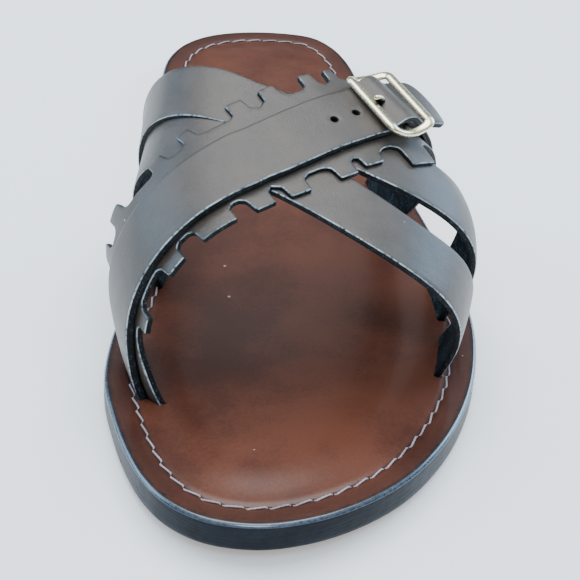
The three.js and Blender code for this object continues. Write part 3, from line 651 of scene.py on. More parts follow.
def colour(red: float, green: float, blue: float) -> Colour:
    """Returns an opaque linear colour."""
    return (red, green, blue, 1.0)


@dataclass(frozen=True)
class GrainLeather(Finish):
    """Smooth dyed leather with a burnished edge.

    Attributes:
        dark: Colour where the dye took well.
        light: Colour where it took less.
        edge: Colour of the edge ink that crept onto the grain side.
        edge_width: Width of the inked band in millimetres.
        roughness: Roughness of the plain surface.
        cell: Size of a pebble of the grain in millimetres.
        relief: Depth of the grain in millimetres.
    """

    dark: Colour = colour(0.038, 0.029, 0.022)
    light: Colour = colour(0.060, 0.047, 0.037)
    edge: Colour = colour(0.014, 0.014, 0.014)
    edge_width: float = 1.1
    roughness: float = 0.4
    cell: float = 0.55
    relief: float = 0.09

    def looks(self, board: Board) -> dict[str, Any]:
        """Returns the shader's values and sockets."""
        grain = self.effect(board, Effect.GRAIN, Cell=self.cell, Pores=0.5)
        mottle = self.effect(board, Effect.MOTTLE, Size=10.0)["Value"]
        scuffs = self.effect(board, Effect.SCUFFS, Amount=0.5)["Mask"]
        wear = self.effect(board, Effect.WEAR, Width=self.edge_width, Raggedness=0.5)["Mask"]
        dust = self.effect(board, Effect.DUST, Spacing=6.0)["Mask"]
        dyed = board.blend(mottle, self.dark, self.light)
        pored = board.blend(board.math("MULTIPLY", grain["Mask"], 0.6), dyed, self.edge)
        scuffed = board.blend(board.math("MULTIPLY", scuffs, 0.3), pored, colour(0.16, 0.15, 0.14))
        inked = board.blend(board.math("MULTIPLY", wear, 0.6), scuffed, self.edge)
        slack = board.noise(board.place(), 9.0, 2.0)
        normal = board.bump(slack, 0.3)
        normal = board.bump(grain["Height"], self.relief, normal)
        rough = board.math("ADD", self.roughness, board.math("MULTIPLY", mottle, 0.08))
        rough = board.math("ADD", rough, board.math("MULTIPLY", scuffs, 0.15))
        return {
            "Base Color": board.blend(dust, inked, colour(0.5, 0.5, 0.48)),
            "Roughness": rough,
            "Normal": normal,
            "Coat Weight": 0.2,
            "Coat Roughness": 0.3,
        }


@dataclass(frozen=True)
class BurnishedRimHighlight(Finish):
    """Rubbed ink on the rounding of a cut edge, with a painted highlight where it faces the toe."""

    ink: Colour = colour(0.016, 0.02, 0.022)
    # Pale blue painted highlight colour, laid on patchy rubbed spots.
    rubbed_and_highlight: Colour = colour(0.40, 0.48, 0.52)

    def looks(self, board: Board) -> dict[str, Any]:
        """Returns the shader's values and sockets."""
        normal = board.add("ShaderNodeNewGeometry").outputs["Normal"]
        parts = board.add("ShaderNodeSeparateXYZ", {0: normal}).outputs
        # Painted highlight: pale colour and coat only where the rounding faces the toe, where the
        # front light would glint.
        painted_highlight_to_toe = board.span(board.math("MULTIPLY", parts["Y"], -1.0), 0.15, 0.75)
        ragged = board.span(board.noise(board.place(), 1.1, 3.0, 0.6), 0.32, 0.55)
        wide = board.span(board.noise(board.place(), 12.0, 2.0), 0.25, 0.6)
        share = board.math("MULTIPLY", board.math("MULTIPLY", ragged, wide), painted_highlight_to_toe)
        return {
            "Base Color": board.blend(share, self.ink, self.rubbed_and_highlight),
            "Roughness": 0.3,
            "Normal": board.bump(board.noise(board.place(), 0.5, 3.0), 0.08),
            "Coat Weight": board.math("MULTIPLY", share, 0.8),
            "Coat Roughness": 0.15,
        }


@dataclass(frozen=True)
class CutLeather(Finish):
    """The inked cut edge of a leather sheet, with fibres that stand out of it."""

    ink: Colour = colour(0.003, 0.005, 0.007)
    fibre: Colour = colour(0.10, 0.13, 0.14)

    def looks(self, board: Board) -> dict[str, Any]:
        """Returns the shader's values and sockets."""
        fibres = board.noise(board.place(), 0.55, 4.0, 0.7)
        clumps = board.noise(board.place(), 2.2, 3.0)
        tips = board.math("MULTIPLY", board.span(fibres, 0.52, 0.7), board.span(clumps, 0.4, 0.62))
        return {
            "Base Color": board.blend(tips, self.ink, self.fibre),
            "Roughness": board.between(tips, 0.6, 0.9),
            "Normal": board.bump(fibres, 0.3),
            "Specular IOR Level": 0.25,
        }


@dataclass(frozen=True)
class FleshLeather(Finish):
    """The napped flesh side of a leather sheet."""

    dark: Colour = colour(0.004, 0.008, 0.011)
    light: Colour = colour(0.060, 0.095, 0.110)

    def looks(self, board: Board) -> dict[str, Any]:
        """Returns the shader's values and sockets."""
        nap = board.noise(board.place(), 0.7, 4.0, 0.65)
        clouds = board.noise(board.place(), 5.0, 3.0)
        share = board.math("MULTIPLY", board.span(nap, 0.4, 0.7), board.span(clouds, 0.35, 0.65))
        return {
            "Base Color": board.blend(share, self.dark, self.light),
            "Roughness": 0.92,
            "Normal": board.bump(nap, 0.3),
            "Specular IOR Level": 0.2,
        }


@dataclass(frozen=True)
class FootbedLeather(Finish):
    """Waxed brown leather of the footbed, darker outside its seam and inked at its rim."""

    deep: Colour = colour(0.062, 0.018, 0.010)
    warm: Colour = colour(0.115, 0.035, 0.018)
    rim: Colour = colour(0.003, 0.003, 0.004)
    seam_distance: float = 7.5
    rim_width: float = 2.5

    def looks(self, board: Board) -> dict[str, Any]:
        """Returns the shader's values and sockets."""
        grain = self.effect(board, Effect.GRAIN, Cell=0.8, Pores=0.6)
        mottle = self.effect(board, Effect.MOTTLE, Size=30.0)["Value"]
        wear = self.effect(board, Effect.WEAR, Width=self.rim_width, Raggedness=1.8)["Mask"]
        dust = self.effect(board, Effect.DUST, Spacing=9.0)["Mask"]
        edge = board.value("edge")
        dyed = board.blend(mottle, self.deep, self.warm)
        pored = board.blend(board.math("MULTIPLY", grain["Mask"], 0.4), dyed, self.rim)
        past = board.span(edge, self.seam_distance - 3.5, self.seam_distance + 2.5)
        border = board.math("SUBTRACT", 1.0, past)
        shade = board.math("MULTIPLY", border, 0.5)
        shaded = board.blend(shade, pored, colour(0.022, 0.007, 0.005))
        away = board.math("ABSOLUTE", board.math("SUBTRACT", edge, self.seam_distance))
        # Darker along the stitch groove: partly burnished leather, partly painted shade in the
        # groove.
        soiling_and_shade = board.math("SUBTRACT", 1.0, board.span(away, 0.3, 1.3))
        sewn = board.blend(board.math("MULTIPLY", soiling_and_shade, 0.45), shaded, self.rim)
        inked = board.blend(wear, sewn, self.rim)
        slack = board.noise(board.place(), 12.0, 2.0)
        normal = board.bump(slack, 0.2)
        normal = board.bump(grain["Height"], 0.05, normal)
        rough = board.math("ADD", 0.36, board.math("MULTIPLY", mottle, 0.08))
        return {
            "Base Color": board.blend(dust, inked, colour(0.45, 0.42, 0.38)),
            "Roughness": rough,
            "Normal": normal,
            "Specular IOR Level": 0.15,
            "Coat Weight": 0.45,
            "Coat Roughness": 0.2,
        }


@dataclass(frozen=True)
class PolishedBevel(Finish):
    """The waxed bevel along the top of the sole's edge, painted lighter blue as a highlight."""

    # Both colours are lighter and bluer than the sole edge's: painted highlight on the bevel, in
    # worn patches.
    ink: Colour = colour(0.012, 0.024, 0.042)
    rubbed_and_highlight: Colour = colour(0.07, 0.12, 0.18)

    def looks(self, board: Board) -> dict[str, Any]:
        """Returns the shader's values and sockets."""
        worn = board.span(board.noise(board.place(), 1.0, 4.0, 0.6), 0.3, 0.75)
        wide = board.noise(board.place(), 30.0, 2.0)
        return {
            "Base Color": board.blend(board.math("MULTIPLY", worn, wide), self.ink, self.rubbed_and_highlight),
            "Roughness": board.between(worn, 0.25, 0.4),
            "Normal": board.bump(board.noise(board.place(), 1.2, 3.0), 0.06),
            "Coat Weight": 1.0,
            "Coat Roughness": 0.16,
        }


@dataclass(frozen=True)
class SoleEdgeLeather(Finish):
    """The inked and polished side of the sole."""

    ink: Colour = colour(0.002, 0.004, 0.008)
    rubbed_and_highlight: Colour = colour(0.014, 0.022, 0.034)

    def looks(self, board: Board) -> dict[str, Any]:
        """Returns the shader's values and sockets."""
        place = board.place()
        parts = board.add("ShaderNodeSeparateXYZ", {0: place}).outputs
        stretched = board.add(
            "ShaderNodeCombineXYZ",
            {
                "X": board.math("MULTIPLY", parts["X"], 120.0),
                "Y": board.math("MULTIPLY", parts["Y"], 120.0),
                "Z": board.math("MULTIPLY", parts["Z"], 1600.0),
            },
        ).outputs[0]
        lines = board.add("ShaderNodeTexNoise", {"Vector": stretched, "Scale": 1.0, "Detail": 4.0})
        nicks = board.span(board.noise(place, 1.6, 3.0, 0.6), 0.62, 0.72)
        mottle = self.effect(board, Effect.MOTTLE, Size=9.0)["Value"]
        base = board.blend(board.math("MULTIPLY", mottle, 0.4), self.ink, self.rubbed_and_highlight)
        normal = board.bump(lines.outputs["Fac"], 0.12)
        normal = board.bump(board.noise(place, 7.0, 2.0), 0.25, normal)
        rough = board.math("ADD", 0.34, board.math("MULTIPLY", nicks, 0.25))
        return {
            "Base Color": board.blend(board.math("MULTIPLY", nicks, 0.3), base, self.rubbed_and_highlight),
            "Roughness": rough,
            "Normal": normal,
            "Specular IOR Level": 0.12,
        }


@dataclass(frozen=True)
class SoleUnderside(Finish):
    """Plain tanned leather under the sole."""

    deep: Colour = colour(0.20, 0.11, 0.055)
    pale: Colour = colour(0.33, 0.20, 0.11)

    def looks(self, board: Board) -> dict[str, Any]:
        """Returns the shader's values and sockets."""
        grain = self.effect(board, Effect.GRAIN, Cell=1.0, Pores=0.5)
        mottle = self.effect(board, Effect.MOTTLE, Size=18.0)["Value"]
        wear = self.effect(board, Effect.WEAR, Width=2.4, Raggedness=1.0)["Mask"]
        base = board.blend(mottle, self.deep, self.pale)
        depth = board.math("MULTIPLY", grain["Mask"], 0.5)
        pored = board.blend(depth, base, colour(0.08, 0.045, 0.03))
        return {
            "Base Color": board.blend(wear, pored, colour(0.01, 0.01, 0.012)),
            "Roughness": board.between(mottle, 0.5, 0.65),
            "Normal": board.bump(grain["Height"], 0.08),
        }


@dataclass(frozen=True)
class WaxedThread(Finish):
    """Pale waxed thread, greyed where it has been walked on."""

    clean: Colour = colour(0.40, 0.32, 0.33)
    greyed: Colour = colour(0.17, 0.12, 0.12)

    def looks(self, board: Board) -> dict[str, Any]:
        """Returns the shader's values and sockets."""
        fibres = board.noise(board.place(), 0.35, 3.0, 0.6)
        dirt = board.span(board.noise(board.place(), 8.0, 3.0), 0.45, 0.75)
        soiling_and_shade = board.math("MULTIPLY", dirt, 0.7)
        share = board.math("ADD", soiling_and_shade, board.math("MULTIPLY", fibres, 0.3))
        return {
            "Base Color": board.blend(share, self.clean, self.greyed),
            "Roughness": 0.65,
            "Normal": board.bump(fibres, 0.12),
            "Sheen Weight": 0.2,
        }


@dataclass(frozen=True)
class NeedleHoleShade(Finish):
    """Painted shade of a needle hole: a dark disc standing in for the shadow inside it."""

    dark: Colour = colour(0.004, 0.003, 0.003)
    lit: Colour = colour(0.02, 0.012, 0.01)

    def looks(self, board: Board) -> dict[str, Any]:
        """Returns the shader's values and sockets."""
        fibres = board.noise(board.place(), 0.4, 3.0)
        return {
            "Base Color": board.blend(fibres, self.dark, self.lit),
            "Roughness": 0.9,
            "Normal": board.bump(fibres, 0.1),
        }


@dataclass(frozen=True)
class PaleGold(Finish):
    """Polished pale gold plating with fine rub marks."""

    plated: Colour = colour(0.90, 0.82, 0.56)
    dulled: Colour = colour(0.50, 0.42, 0.28)

    def looks(self, board: Board) -> dict[str, Any]:
        """Returns the shader's values and sockets."""
        clouds = board.span(board.noise(board.place(), 3.0, 4.0, 0.6), 0.5, 0.75)
        marks = board.noise(board.place(), 0.5, 4.0, 0.7)
        worn = board.math("MULTIPLY", clouds, 0.5)
        return {
            "Base Color": board.blend(worn, self.plated, self.dulled),
            "Metallic": 1.0,
            "Roughness": board.math("ADD", 0.2, board.math("MULTIPLY", marks, 0.14)),
            "Normal": board.bump(marks, 0.01),
        }


@dataclass(frozen=True)
class PaleFloor(Finish):
    """Plain pale studio floor."""

    white: Colour = colour(0.86, 0.87, 0.88)
    off_white: Colour = colour(0.82, 0.83, 0.84)

    def looks(self, board: Board) -> dict[str, Any]:
        """Returns the shader's values and sockets."""
        clouds = board.noise(board.place(), 260.0, 2.0)
        tint = board.blend(clouds, self.white, self.off_white)
        return {
            "Base Color": tint,
            "Roughness": 0.9,
            "Emission Color": tint,
            "Emission Strength": 0.35,
        }


STRAP_GRAIN = GrainLeather("strap_grain_side")
STRAP_CUT = CutLeather("strap_cut_edge")
STRAP_FLESH = FleshLeather("strap_flesh_side")
STRAP_RIM = BurnishedRimHighlight("strap_rim_painted_highlight")
SOLE_BEVEL = PolishedBevel("sole_bevel")
FOOTBED = FootbedLeather("footbed_leather")
SOLE_EDGE = SoleEdgeLeather("sole_edge")
SOLE_UNDERSIDE = SoleUnderside("sole_underside")
THREAD = WaxedThread("waxed_thread")
NEEDLE_HOLE_SHADE = NeedleHoleShade("hole_painted_shade")
PALE_GOLD = PaleGold("pale_gold")
PALE_FLOOR = PaleFloor("pale_floor")


def strap_materials() -> list[bpy.types.Material]:
    """Returns the materials of a strap, in the order of its sides."""
    finishes = (STRAP_GRAIN, STRAP_CUT, STRAP_FLESH, STRAP_RIM)
    return [finish.material() for finish in finishes]


def finish_piece(piece: bpy.types.Object, nodes: tuple[str, ...] = ()) -> None:
    """Ties a piece to the frame and reports it.

    Args:
        piece: The piece, in place.
        nodes: Frame nodes that it stands for.
    """
    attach(piece, "root")
    if nodes:
        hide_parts(*nodes)
    log.info("%s: %d faces", piece.name, len(piece.data.polygons))


# The sole


@dataclass(frozen=True)
class SoleForm:
    """Outline and heights of the sole, as in the frame."""

    length: float = 278.0
    heel_width: float = 73.0
    waist_width: float = 80.0
    ball_width: float = 108.0
    outsole_top: float = 5.15
    footbed_height: float = 9.0
    toe_spring: float = 5.0
    spring_start: float = 0.715
    seam_inset: float = 7.5
    steps: int = 150

    def rows(self) -> list[tuple[float, float, float, float]]:
        """Returns rows of a place along the sole, a width, and the two edges as shares of it."""
        heel, waist, ball = self.heel_width, self.waist_width, self.ball_width
        return [
            (0.012, heel, -0.27, 0.245),
            (0.04, heel, -0.418, 0.347),
            (0.08, heel, -0.502, 0.412),
            (0.13, heel, -0.537, 0.45),
            (0.2, heel, -0.541, 0.472),
            (0.28, waist, -0.49, 0.457),
            (0.38, waist, -0.487, 0.518),
            (0.48, waist, -0.51, 0.588),
            (0.56, ball, -0.407, 0.477),
            (0.63, ball, -0.447, 0.501),
            (0.7, ball, -0.487, 0.499),
            (0.77, ball, -0.501, 0.466),
            (0.83, ball, -0.477, 0.41),
            (0.885, ball, -0.441, 0.332),
            (0.93, ball, -0.397, 0.241),
            (0.965, ball, -0.337, 0.132),
            (0.99, ball, -0.25, 0.006),
        ]

    def y_of(self, along: Array) -> Array:
        """Returns the distance on Y of a place along the shoe."""
        return (0.5 - along) * self.length

    def spring(self, y: Array) -> Array:
        """Returns how far the toe spring lifts the sole at a distance on Y."""
        along = 0.5 - y / self.length
        share = np.clip((along - self.spring_start) / (1 - self.spring_start), 0, 1)
        return self.toe_spring * share * share

    def edge(self, inner: bool) -> Array:
        """Returns the points of one side of the outline, from the heel's tip to the toe's tip."""
        rows = self.rows()
        column, other = (2, 3) if inner else (3, 2)

        def point(row: tuple[float, ...], side: int) -> tuple[float, float]:
            """Returns the point of one side in a row."""
            return row[side] * row[1], self.y_of(row[0])

        heel_tip = (-0.014 * self.ball_width, self.y_of(0.0))
        toe_tip = (-0.125 * self.ball_width, self.y_of(1.0))
        guides = np.array(
            [point(rows[0], other), heel_tip]
            + [point(row, column) for row in rows]
            + [toe_tip, point(rows[-1], other)]
        )
        return curve_through(guides, self.steps)

    def outline(self) -> Array:
        """Returns the sole's outline, anticlockwise seen from above."""
        return respaced(np.vstack([self.edge(True), self.edge(False)[1:-1][::-1]]), 1.6)


def curve_through(guides: Array, steps: int) -> Array:
    """Returns points on a smooth curve through all guides but the first and the last.

    Args:
        guides: The guides; the outer two only steer the ends.
        steps: Number of steps between the second guide and the last but one.

    Returns:
        The points of the curve.
    """
    spans = len(guides) - 3
    place = np.linspace(0, spans, steps + 1)
    index = np.minimum(place.astype(int), spans - 1)
    share = (place - index)[:, None]
    p0, p1, p2, p3 = (guides[index + step] for step in range(4))
    steps_between = ((p0, p1), (p1, p2), (p2, p3))
    d0, d1, d2 = (np.sqrt(np.linalg.norm(b - a, axis=1))[:, None] for a, b in steps_between)
    leave = d1 * ((p1 - p0) / d0 - (p2 - p0) / (d0 + d1) + (p2 - p1) / d1)
    reach = d1 * ((p2 - p1) / d1 - (p3 - p1) / (d1 + d2) + (p3 - p2) / d2)
    bend = -3 * p1 + 3 * p2 - 2 * leave - reach
    twist = 2 * p1 - 2 * p2 + leave + reach
    return p1 + leave * share + bend * share**2 + twist * share**3


@dataclass
class Sole:
    """The outsole and the sewn footbed."""

    form: SoleForm = field(default_factory=SoleForm)
    groove_depth: float = 0.4
    groove_width: float = 1.1
    crown: float = 1.7
    crown_reach: float = 17.0
    stitch_pitch: float = 6.0
    stitch_gap: float = 0.12
    stitch_slant: float = 0.78
    thread_radius: float = 0.28
    thread_rings: int = 19
    thread_sides: int = 10
    thread_flatness: float = 0.85
    strand_relief: float = 0.16
    slant_spread: float = 0.3
    pitch_spread: float = 0.1
    hole_sides: int = 12
    twist_per_mm: float = 2.6
    hole_radius: float = 0.45
    hole_offset: float = 0.45

    def footbed_relief(self, edge: Array) -> Array:
        """Returns the height of the footbed over its rim, at distances from its edge."""
        seam = self.form.seam_inset
        pad = self.crown * smoothstep(edge, seam, seam + self.crown_reach)
        offset = (edge - self.form.seam_inset) / self.groove_width
        return pad - self.groove_depth * np.exp(-(offset**2))

    def footbed_top(self, flat: Array, edge: Array) -> Array:
        """Returns the height of the footbed's grain side at flat points."""
        return self.form.footbed_height + self.footbed_relief(edge) + self.form.spring(flat[:, 1])

    def build_outsole(self) -> None:
        """Builds the outsole with its rounded lower edge."""
        form = self.form

        def lay(flat: Array, up: Array, edge: Array) -> Array:
            """Returns the points of the outsole."""
            return np.column_stack([flat, up * form.outsole_top + form.spring(flat[:, 1])])

        rim = (
            RimRow(0.9, 1.0),
            RimRow(0.0, 1.0),
            RimRow(0.0, 0.6),
            RimRow(0.05, 0.3),
            RimRow(0.2, 0.14),
            RimRow(0.45, 0.05),
            RimRow(0.9, 0.0),
        )
        sheet = Sheet(form.outline(), lay, rim, spacing=5.0, contours=(4.0,), contour_spacing=2.5)
        materials = [SOLE_EDGE.material(), SOLE_EDGE.material(), SOLE_UNDERSIDE.material()]
        finish_piece(sheet.plan().build("sole_leather", materials), ("outsole",))

    def build_footbed(self, slots: list[tuple[Array, Array]]) -> None:
        """Builds the footbed.

        Args:
            slots: Outlines of each slot at the footbed's top and at its underside, clockwise.
        """
        form = self.form
        outline = form.outline()
        tops = [top for top, _ in slots]

        def lay(flat: Array, up: Array, edge: Array) -> Array:
            """Returns the points of the footbed."""
            from_edge = edge_distance(flat, outline)
            top = form.footbed_height + self.footbed_relief(np.where(edge < 0.5, from_edge, edge))
            low = form.outsole_top
            inner = np.minimum(up, 1.0) * (top - low)
            moved = flat.copy()
            down = (1 - up)[:, None]
            for top_loop, low_loop in slots:
                gap = np.linalg.norm(flat[:, None] - top_loop[None], axis=2)
                nearest = gap.argmin(1)
                near = gap[np.arange(len(flat)), nearest] < 0.05
                shift = (low_loop - top_loop)[nearest] * down
                moved[near] += shift[near]
            return np.column_stack([moved, low + inner + form.spring(flat[:, 1])])

        rim = (
            RimRow(1.3, 1.0),
            RimRow(0.95, 0.985, Side.GRAIN),
            RimRow(0.65, 0.95, Side.RIM),
            RimRow(0.15, 0.83, Side.RIM),
            RimRow(0.02, 0.76, Side.RIM),
            RimRow(0.0, 0.6),
            RimRow(0.0, 0.0),
            RimRow(1.3, 0.0),
        )
        sheet = Sheet(
            outline,
            lay,
            rim,
            spacing=3.2,
            holes=tops,
            hole_rim=(RimRow(0.0, 1.0), RimRow(0.0, 0.6), RimRow(0.0, 0.0)),
            contours=(3.0, 4.6, 5.8, 6.6, 7.1, 7.5, 7.9, 8.4, 9.2, 10.4, 12.0, 14.2, 17.0),
        )
        finishes = (FOOTBED, SOLE_EDGE, STRAP_FLESH, SOLE_BEVEL)
        materials = [finish.material() for finish in finishes]
        finish_piece(sheet.plan().build("footbed_leather", materials), ("insole",))

    def build_seam(self) -> None:
        """Builds the lock stitches round the footbed and painted-shade discs for their holes."""
        line = respaced(inset(self.form.outline(), self.form.seam_inset), 0.5)
        length = closed_length(line)
        ring = np.vstack([line, line[:1]])
        count = round(length[-1] / self.stitch_pitch)
        pitch = length[-1] / count
        draw = np.random.default_rng(7)
        thread, holes = MeshPlan(), MeshPlan()

        def on_line(place: Array) -> Array:
            """Returns flat points at places along the seam."""
            held = np.mod(place, length[-1])
            return np.column_stack([np.interp(held, length, ring[:, axis]) for axis in (0, 1)])

        for number in range(count):
            spread = self.pitch_spread
            start = number * pitch + self.stitch_gap + draw.uniform(-spread, spread)
            end = (number + 1) * pitch - self.stitch_gap + draw.uniform(-spread, spread)
            self._add_stitch(thread, on_line, start, end, draw)
            here, next_to = on_line(np.array([number * pitch, number * pitch + 0.5]))
            way = unit(next_to - here)
            centre = here + self.hole_offset * np.array([-way[1], way[0]])
            # Each needle hole is a dark disc of painted shade.
            self._add_hole(holes, centre)
        piece = thread.build("edge_thread", [THREAD.material()])
        finish_piece(piece)
        finish_piece(holes.build("stitch_hole_shade_discs", [NEEDLE_HOLE_SHADE.material()]))

    def _add_stitch(
        self,
        plan: MeshPlan,
        on_line: Callable[[Array], Array],
        start: float,
        end: float,
        draw: np.random.Generator,
    ) -> None:
        """Adds one stitch of two-ply thread that dips into the leather at its ends."""
        share = np.linspace(0, 1, self.thread_rings)
        places = start + share * (end - start)
        flat = on_line(places)
        ahead = unit(on_line(places + 0.5) - on_line(places - 0.5))
        aside = np.column_stack([-ahead[:, 1], ahead[:, 0]])
        slant = self.stitch_slant * (1 + draw.uniform(-self.slant_spread, self.slant_spread))
        sway = np.interp(share, (0.0, 0.1, 0.9, 1.0), (0.0, -0.5, 0.5, 0.0))
        flat = flat + aside * (sway * slant)[:, None]
        bow = np.sin(np.pi * share) ** 0.25
        seam = np.full(len(share), self.form.seam_inset)
        height = self.footbed_top(flat, seam) + self.thread_radius * (1.9 * bow - 1.0)
        centre = np.column_stack([flat, height])
        tangent = unit(np.gradient(centre, axis=0))
        side = np.column_stack([aside, np.zeros(len(share))])
        up = np.cross(tangent, side)
        up = up * np.sign(up[:, 2:3])
        angle = np.linspace(0, 2 * np.pi, self.thread_sides, endpoint=False)
        turn = self.twist_per_mm * places
        strands = 1 + self.strand_relief * np.cos(2 * (angle[None] - turn[:, None]))
        radius = self.thread_radius * (0.72 + 0.28 * bow)[:, None] * strands
        rings = (
            centre[:, None]
            + side[:, None] * (np.cos(angle)[None] * radius)[..., None]
            + up[:, None] * (np.sin(angle)[None] * radius * self.thread_flatness)[..., None]
        )
        plan.add_tube(rings[:, ::-1])

    def _add_hole(self, plan: MeshPlan, centre: Array) -> None:
        """Adds one needle hole as a small dish in the groove, painted dark as the hole's shade."""
        angle = np.linspace(0, 2 * np.pi, self.hole_sides, endpoint=False)
        seam = np.array([self.form.seam_inset + self.hole_offset])
        base = float(self.footbed_top(centre[None], seam)[0])
        rings = []
        for radius, height in ((1.0, -0.3), (1.0, 0.04), (0.8, 0.07), (0.5, 0.02)):
            circle = np.column_stack([np.cos(angle), np.sin(angle)])
            around = centre + self.hole_radius * radius * circle
            rings.append(np.column_stack([around, np.full(len(angle), base + height)]))
        plan.add_tube(np.array(rings))


# The last and the straps on it


@dataclass(frozen=True)
class LastFrame:
    """Points of the last with their directions: around it, towards the heel and outwards."""

    point: Array
    per_around: Array
    per_y: Array
    outward: Array


@dataclass(frozen=True)
class Last:
    """The form that the straps are laid on, as in the frame."""

    form: SoleForm = field(default_factory=SoleForm)
    instep_height: float = 70.0
    divisions: int = 24
    around_probe: float = 0.01
    y_probe: float = 1.0
    square_from: float = 0.8
    sections: Table = Table(
        (
            "along", "inner_foot", "inner_lean", "inner_rise", "inner_full",
            "outer_foot", "outer_lean", "outer_rise", "outer_full", "crest", "height",
        ),
        (
            (0.393, -0.307, 0.2, 0.74, 1.3, 0.27, 0.04, 0.5, 0.8, -0.18, 1.13),
            (0.5, -0.302, 0.178, 0.66, 1.19, 0.32, 0.03, 0.49, 0.8, -0.167, 1.01),
            (0.571, -0.325, 0.163, 0.61, 1.08, 0.372, 0.07, 0.46, 0.9, -0.158, 0.933),
            (0.643, -0.372, 0.142, 0.555, 0.95, 0.4, 0.141, 0.427, 1.12, -0.15, 0.858),
            (0.714, -0.407, 0.122, 0.503, 0.8, 0.389, 0.134, 0.43, 1.09, -0.141, 0.785),
            (0.821, -0.353, 0.1, 0.425, 0.5, 0.3, 0.118, 0.43, 1.02, -0.128, 0.68),
            (0.93, -0.23, 0.078, 0.35, 0.2, 0.1, 0.095, 0.43, 0.92, -0.115, 0.58),
        ),
    )

    def arch(self, around: Array, y: Array) -> tuple[Array, Array, Array]:
        """Returns half sections of the last.

        Args:
            around: Places around the last; only their sign counts.
            y: Distances on Y.

        Returns:
            Four corners in X and Z of each half section's curve, the running lengths along the
            curve, and the direction at its foot.
        """
        row = self.sections.at(0.5 - y / self.form.length)
        inner = around < 0

        def pick(name: str) -> Array:
            """Returns a column's value for the side that each place lies on."""
            return np.where(inner, row[f"inner_{name}"], row[f"outer_{name}"])

        away = np.where(inner, -1.0, 1.0)
        floor = self.form.footbed_height + self.form.spring(y)
        ball = self.form.ball_width
        crest_x, foot_x = row["crest"] * ball, pick("foot") * ball
        crest_z = floor + row["height"] * self.instep_height
        shoulder_x = crest_x + pick("full") * (foot_x - crest_x)
        side_x = foot_x + away * pick("lean") * ball
        side_z = floor + pick("rise") * self.instep_height
        corners = np.stack(
            [
                np.column_stack([crest_x, crest_z]),
                np.column_stack([shoulder_x, crest_z]),
                np.column_stack([side_x, side_z]),
                np.column_stack([foot_x, floor]),
            ],
            axis=1,
        )
        t = np.linspace(0, 1, self.divisions + 1)
        weights = np.column_stack([(1 - t) ** 3, 3 * (1 - t) ** 2 * t, 3 * (1 - t) * t**2, t**3])
        points = np.einsum("tk,nkc->ntc", weights, corners)
        steps = np.linalg.norm(np.diff(points, axis=1), axis=2)
        lengths = np.concatenate([np.zeros((len(y), 1)), np.cumsum(steps, axis=1)], axis=1)
        return corners, lengths, unit(corners[:, 3] - corners[:, 2])

    def point(self, around: Array, y: Array) -> Array:
        """Returns points of the last; past a foot they go on in a straight line."""
        corners, lengths, ends = self.arch(around, y)
        total = lengths[:, -1]
        share = np.minimum(np.abs(around), 1)
        target = share * total
        index = np.clip((lengths <= target[:, None]).sum(1) - 1, 0, self.divisions - 1)
        rows = np.arange(len(y))
        start, end = lengths[rows, index], lengths[rows, index + 1]
        t = (index + (target - start) / np.maximum(end - start, 1e-9)) / self.divisions
        t = t[:, None]
        flat = (
            (1 - t) ** 3 * corners[:, 0]
            + 3 * (1 - t) ** 2 * t * corners[:, 1]
            + 3 * (1 - t) * t**2 * corners[:, 2]
            + t**3 * corners[:, 3]
        )
        flat = flat + ends * ((np.abs(around) - share) * total)[:, None]
        return np.column_stack([flat[:, 0], y, flat[:, 1]])

    def frame(self, around: Array, y: Array) -> LastFrame:
        """Returns points of the last with their directions."""
        a, b = self.around_probe, self.y_probe
        per_around = (self.point(around + a, y) - self.point(around - a, y)) / (2 * a)
        per_y = (self.point(around, y + b) - self.point(around, y - b)) / (2 * b)
        outward = unit(np.cross(per_around, per_y))
        return LastFrame(self.point(around, y), per_around, per_y, outward)

    def path_y(self, path: Table, around: Array) -> Array:
        """Returns the distance on Y of a strap's middle line."""
        return self.form.y_of(path.at(np.clip(around, -1, 1))["along"])

    def path_step(self, path: Table, around: Array) -> Array:
        """Returns the step of a strap's middle line for a unit of around."""
        a = self.around_probe
        ahead = self.point(around + a, self.path_y(path, around + a))
        behind = self.point(around - a, self.path_y(path, around - a))
        return (ahead - behind) / (2 * a)

    def strap_point(self, path: Table, around: Array, across: Array, height: Array) -> Array:
        """Returns points beside and above the middle line of a strap.

        Args:
            path: Places along the shoe for places around the last.
            around: Places around the last.
            across: Distances to the side, towards the heel.
            height: Heights over the last.

        Returns:
            The points, in millimetres.
        """
        heading = unit(self.path_step(path, around))
        place, y = around.copy(), self.path_y(path, around)
        steps = 6
        for _ in range(steps):
            here = self.frame(place, y)
            on_around = (here.per_around * heading).sum(1)
            on_y = (here.per_y * heading).sum(1)
            aside = here.per_y * on_around[:, None] - here.per_around * on_y[:, None]
            size = np.linalg.norm(aside, axis=1)
            square = smoothstep(np.abs(place), self.square_from, 1)
            across_y = (1 - square) * on_around / size + square / np.linalg.norm(here.per_y, axis=1)
            place = place - (1 - square) * on_y / size * across / steps
            y = y + across_y * across / steps
        here = self.frame(place, y)
        return here.point + here.outward * height[:, None]

    def foot_end(self, path: Table, side: int, height: float) -> float:
        """Returns the place around the last where a strap's foot stands just over the outsole."""
        around = np.array([float(side)])
        _, lengths, ends = self.arch(around, self.path_y(path, around))
        drop = self.form.footbed_height - self.form.outsole_top - 0.4 - abs(ends[0, 0]) * height
        return side * (1 + drop / (abs(ends[0, 1]) * lengths[0, -1]))


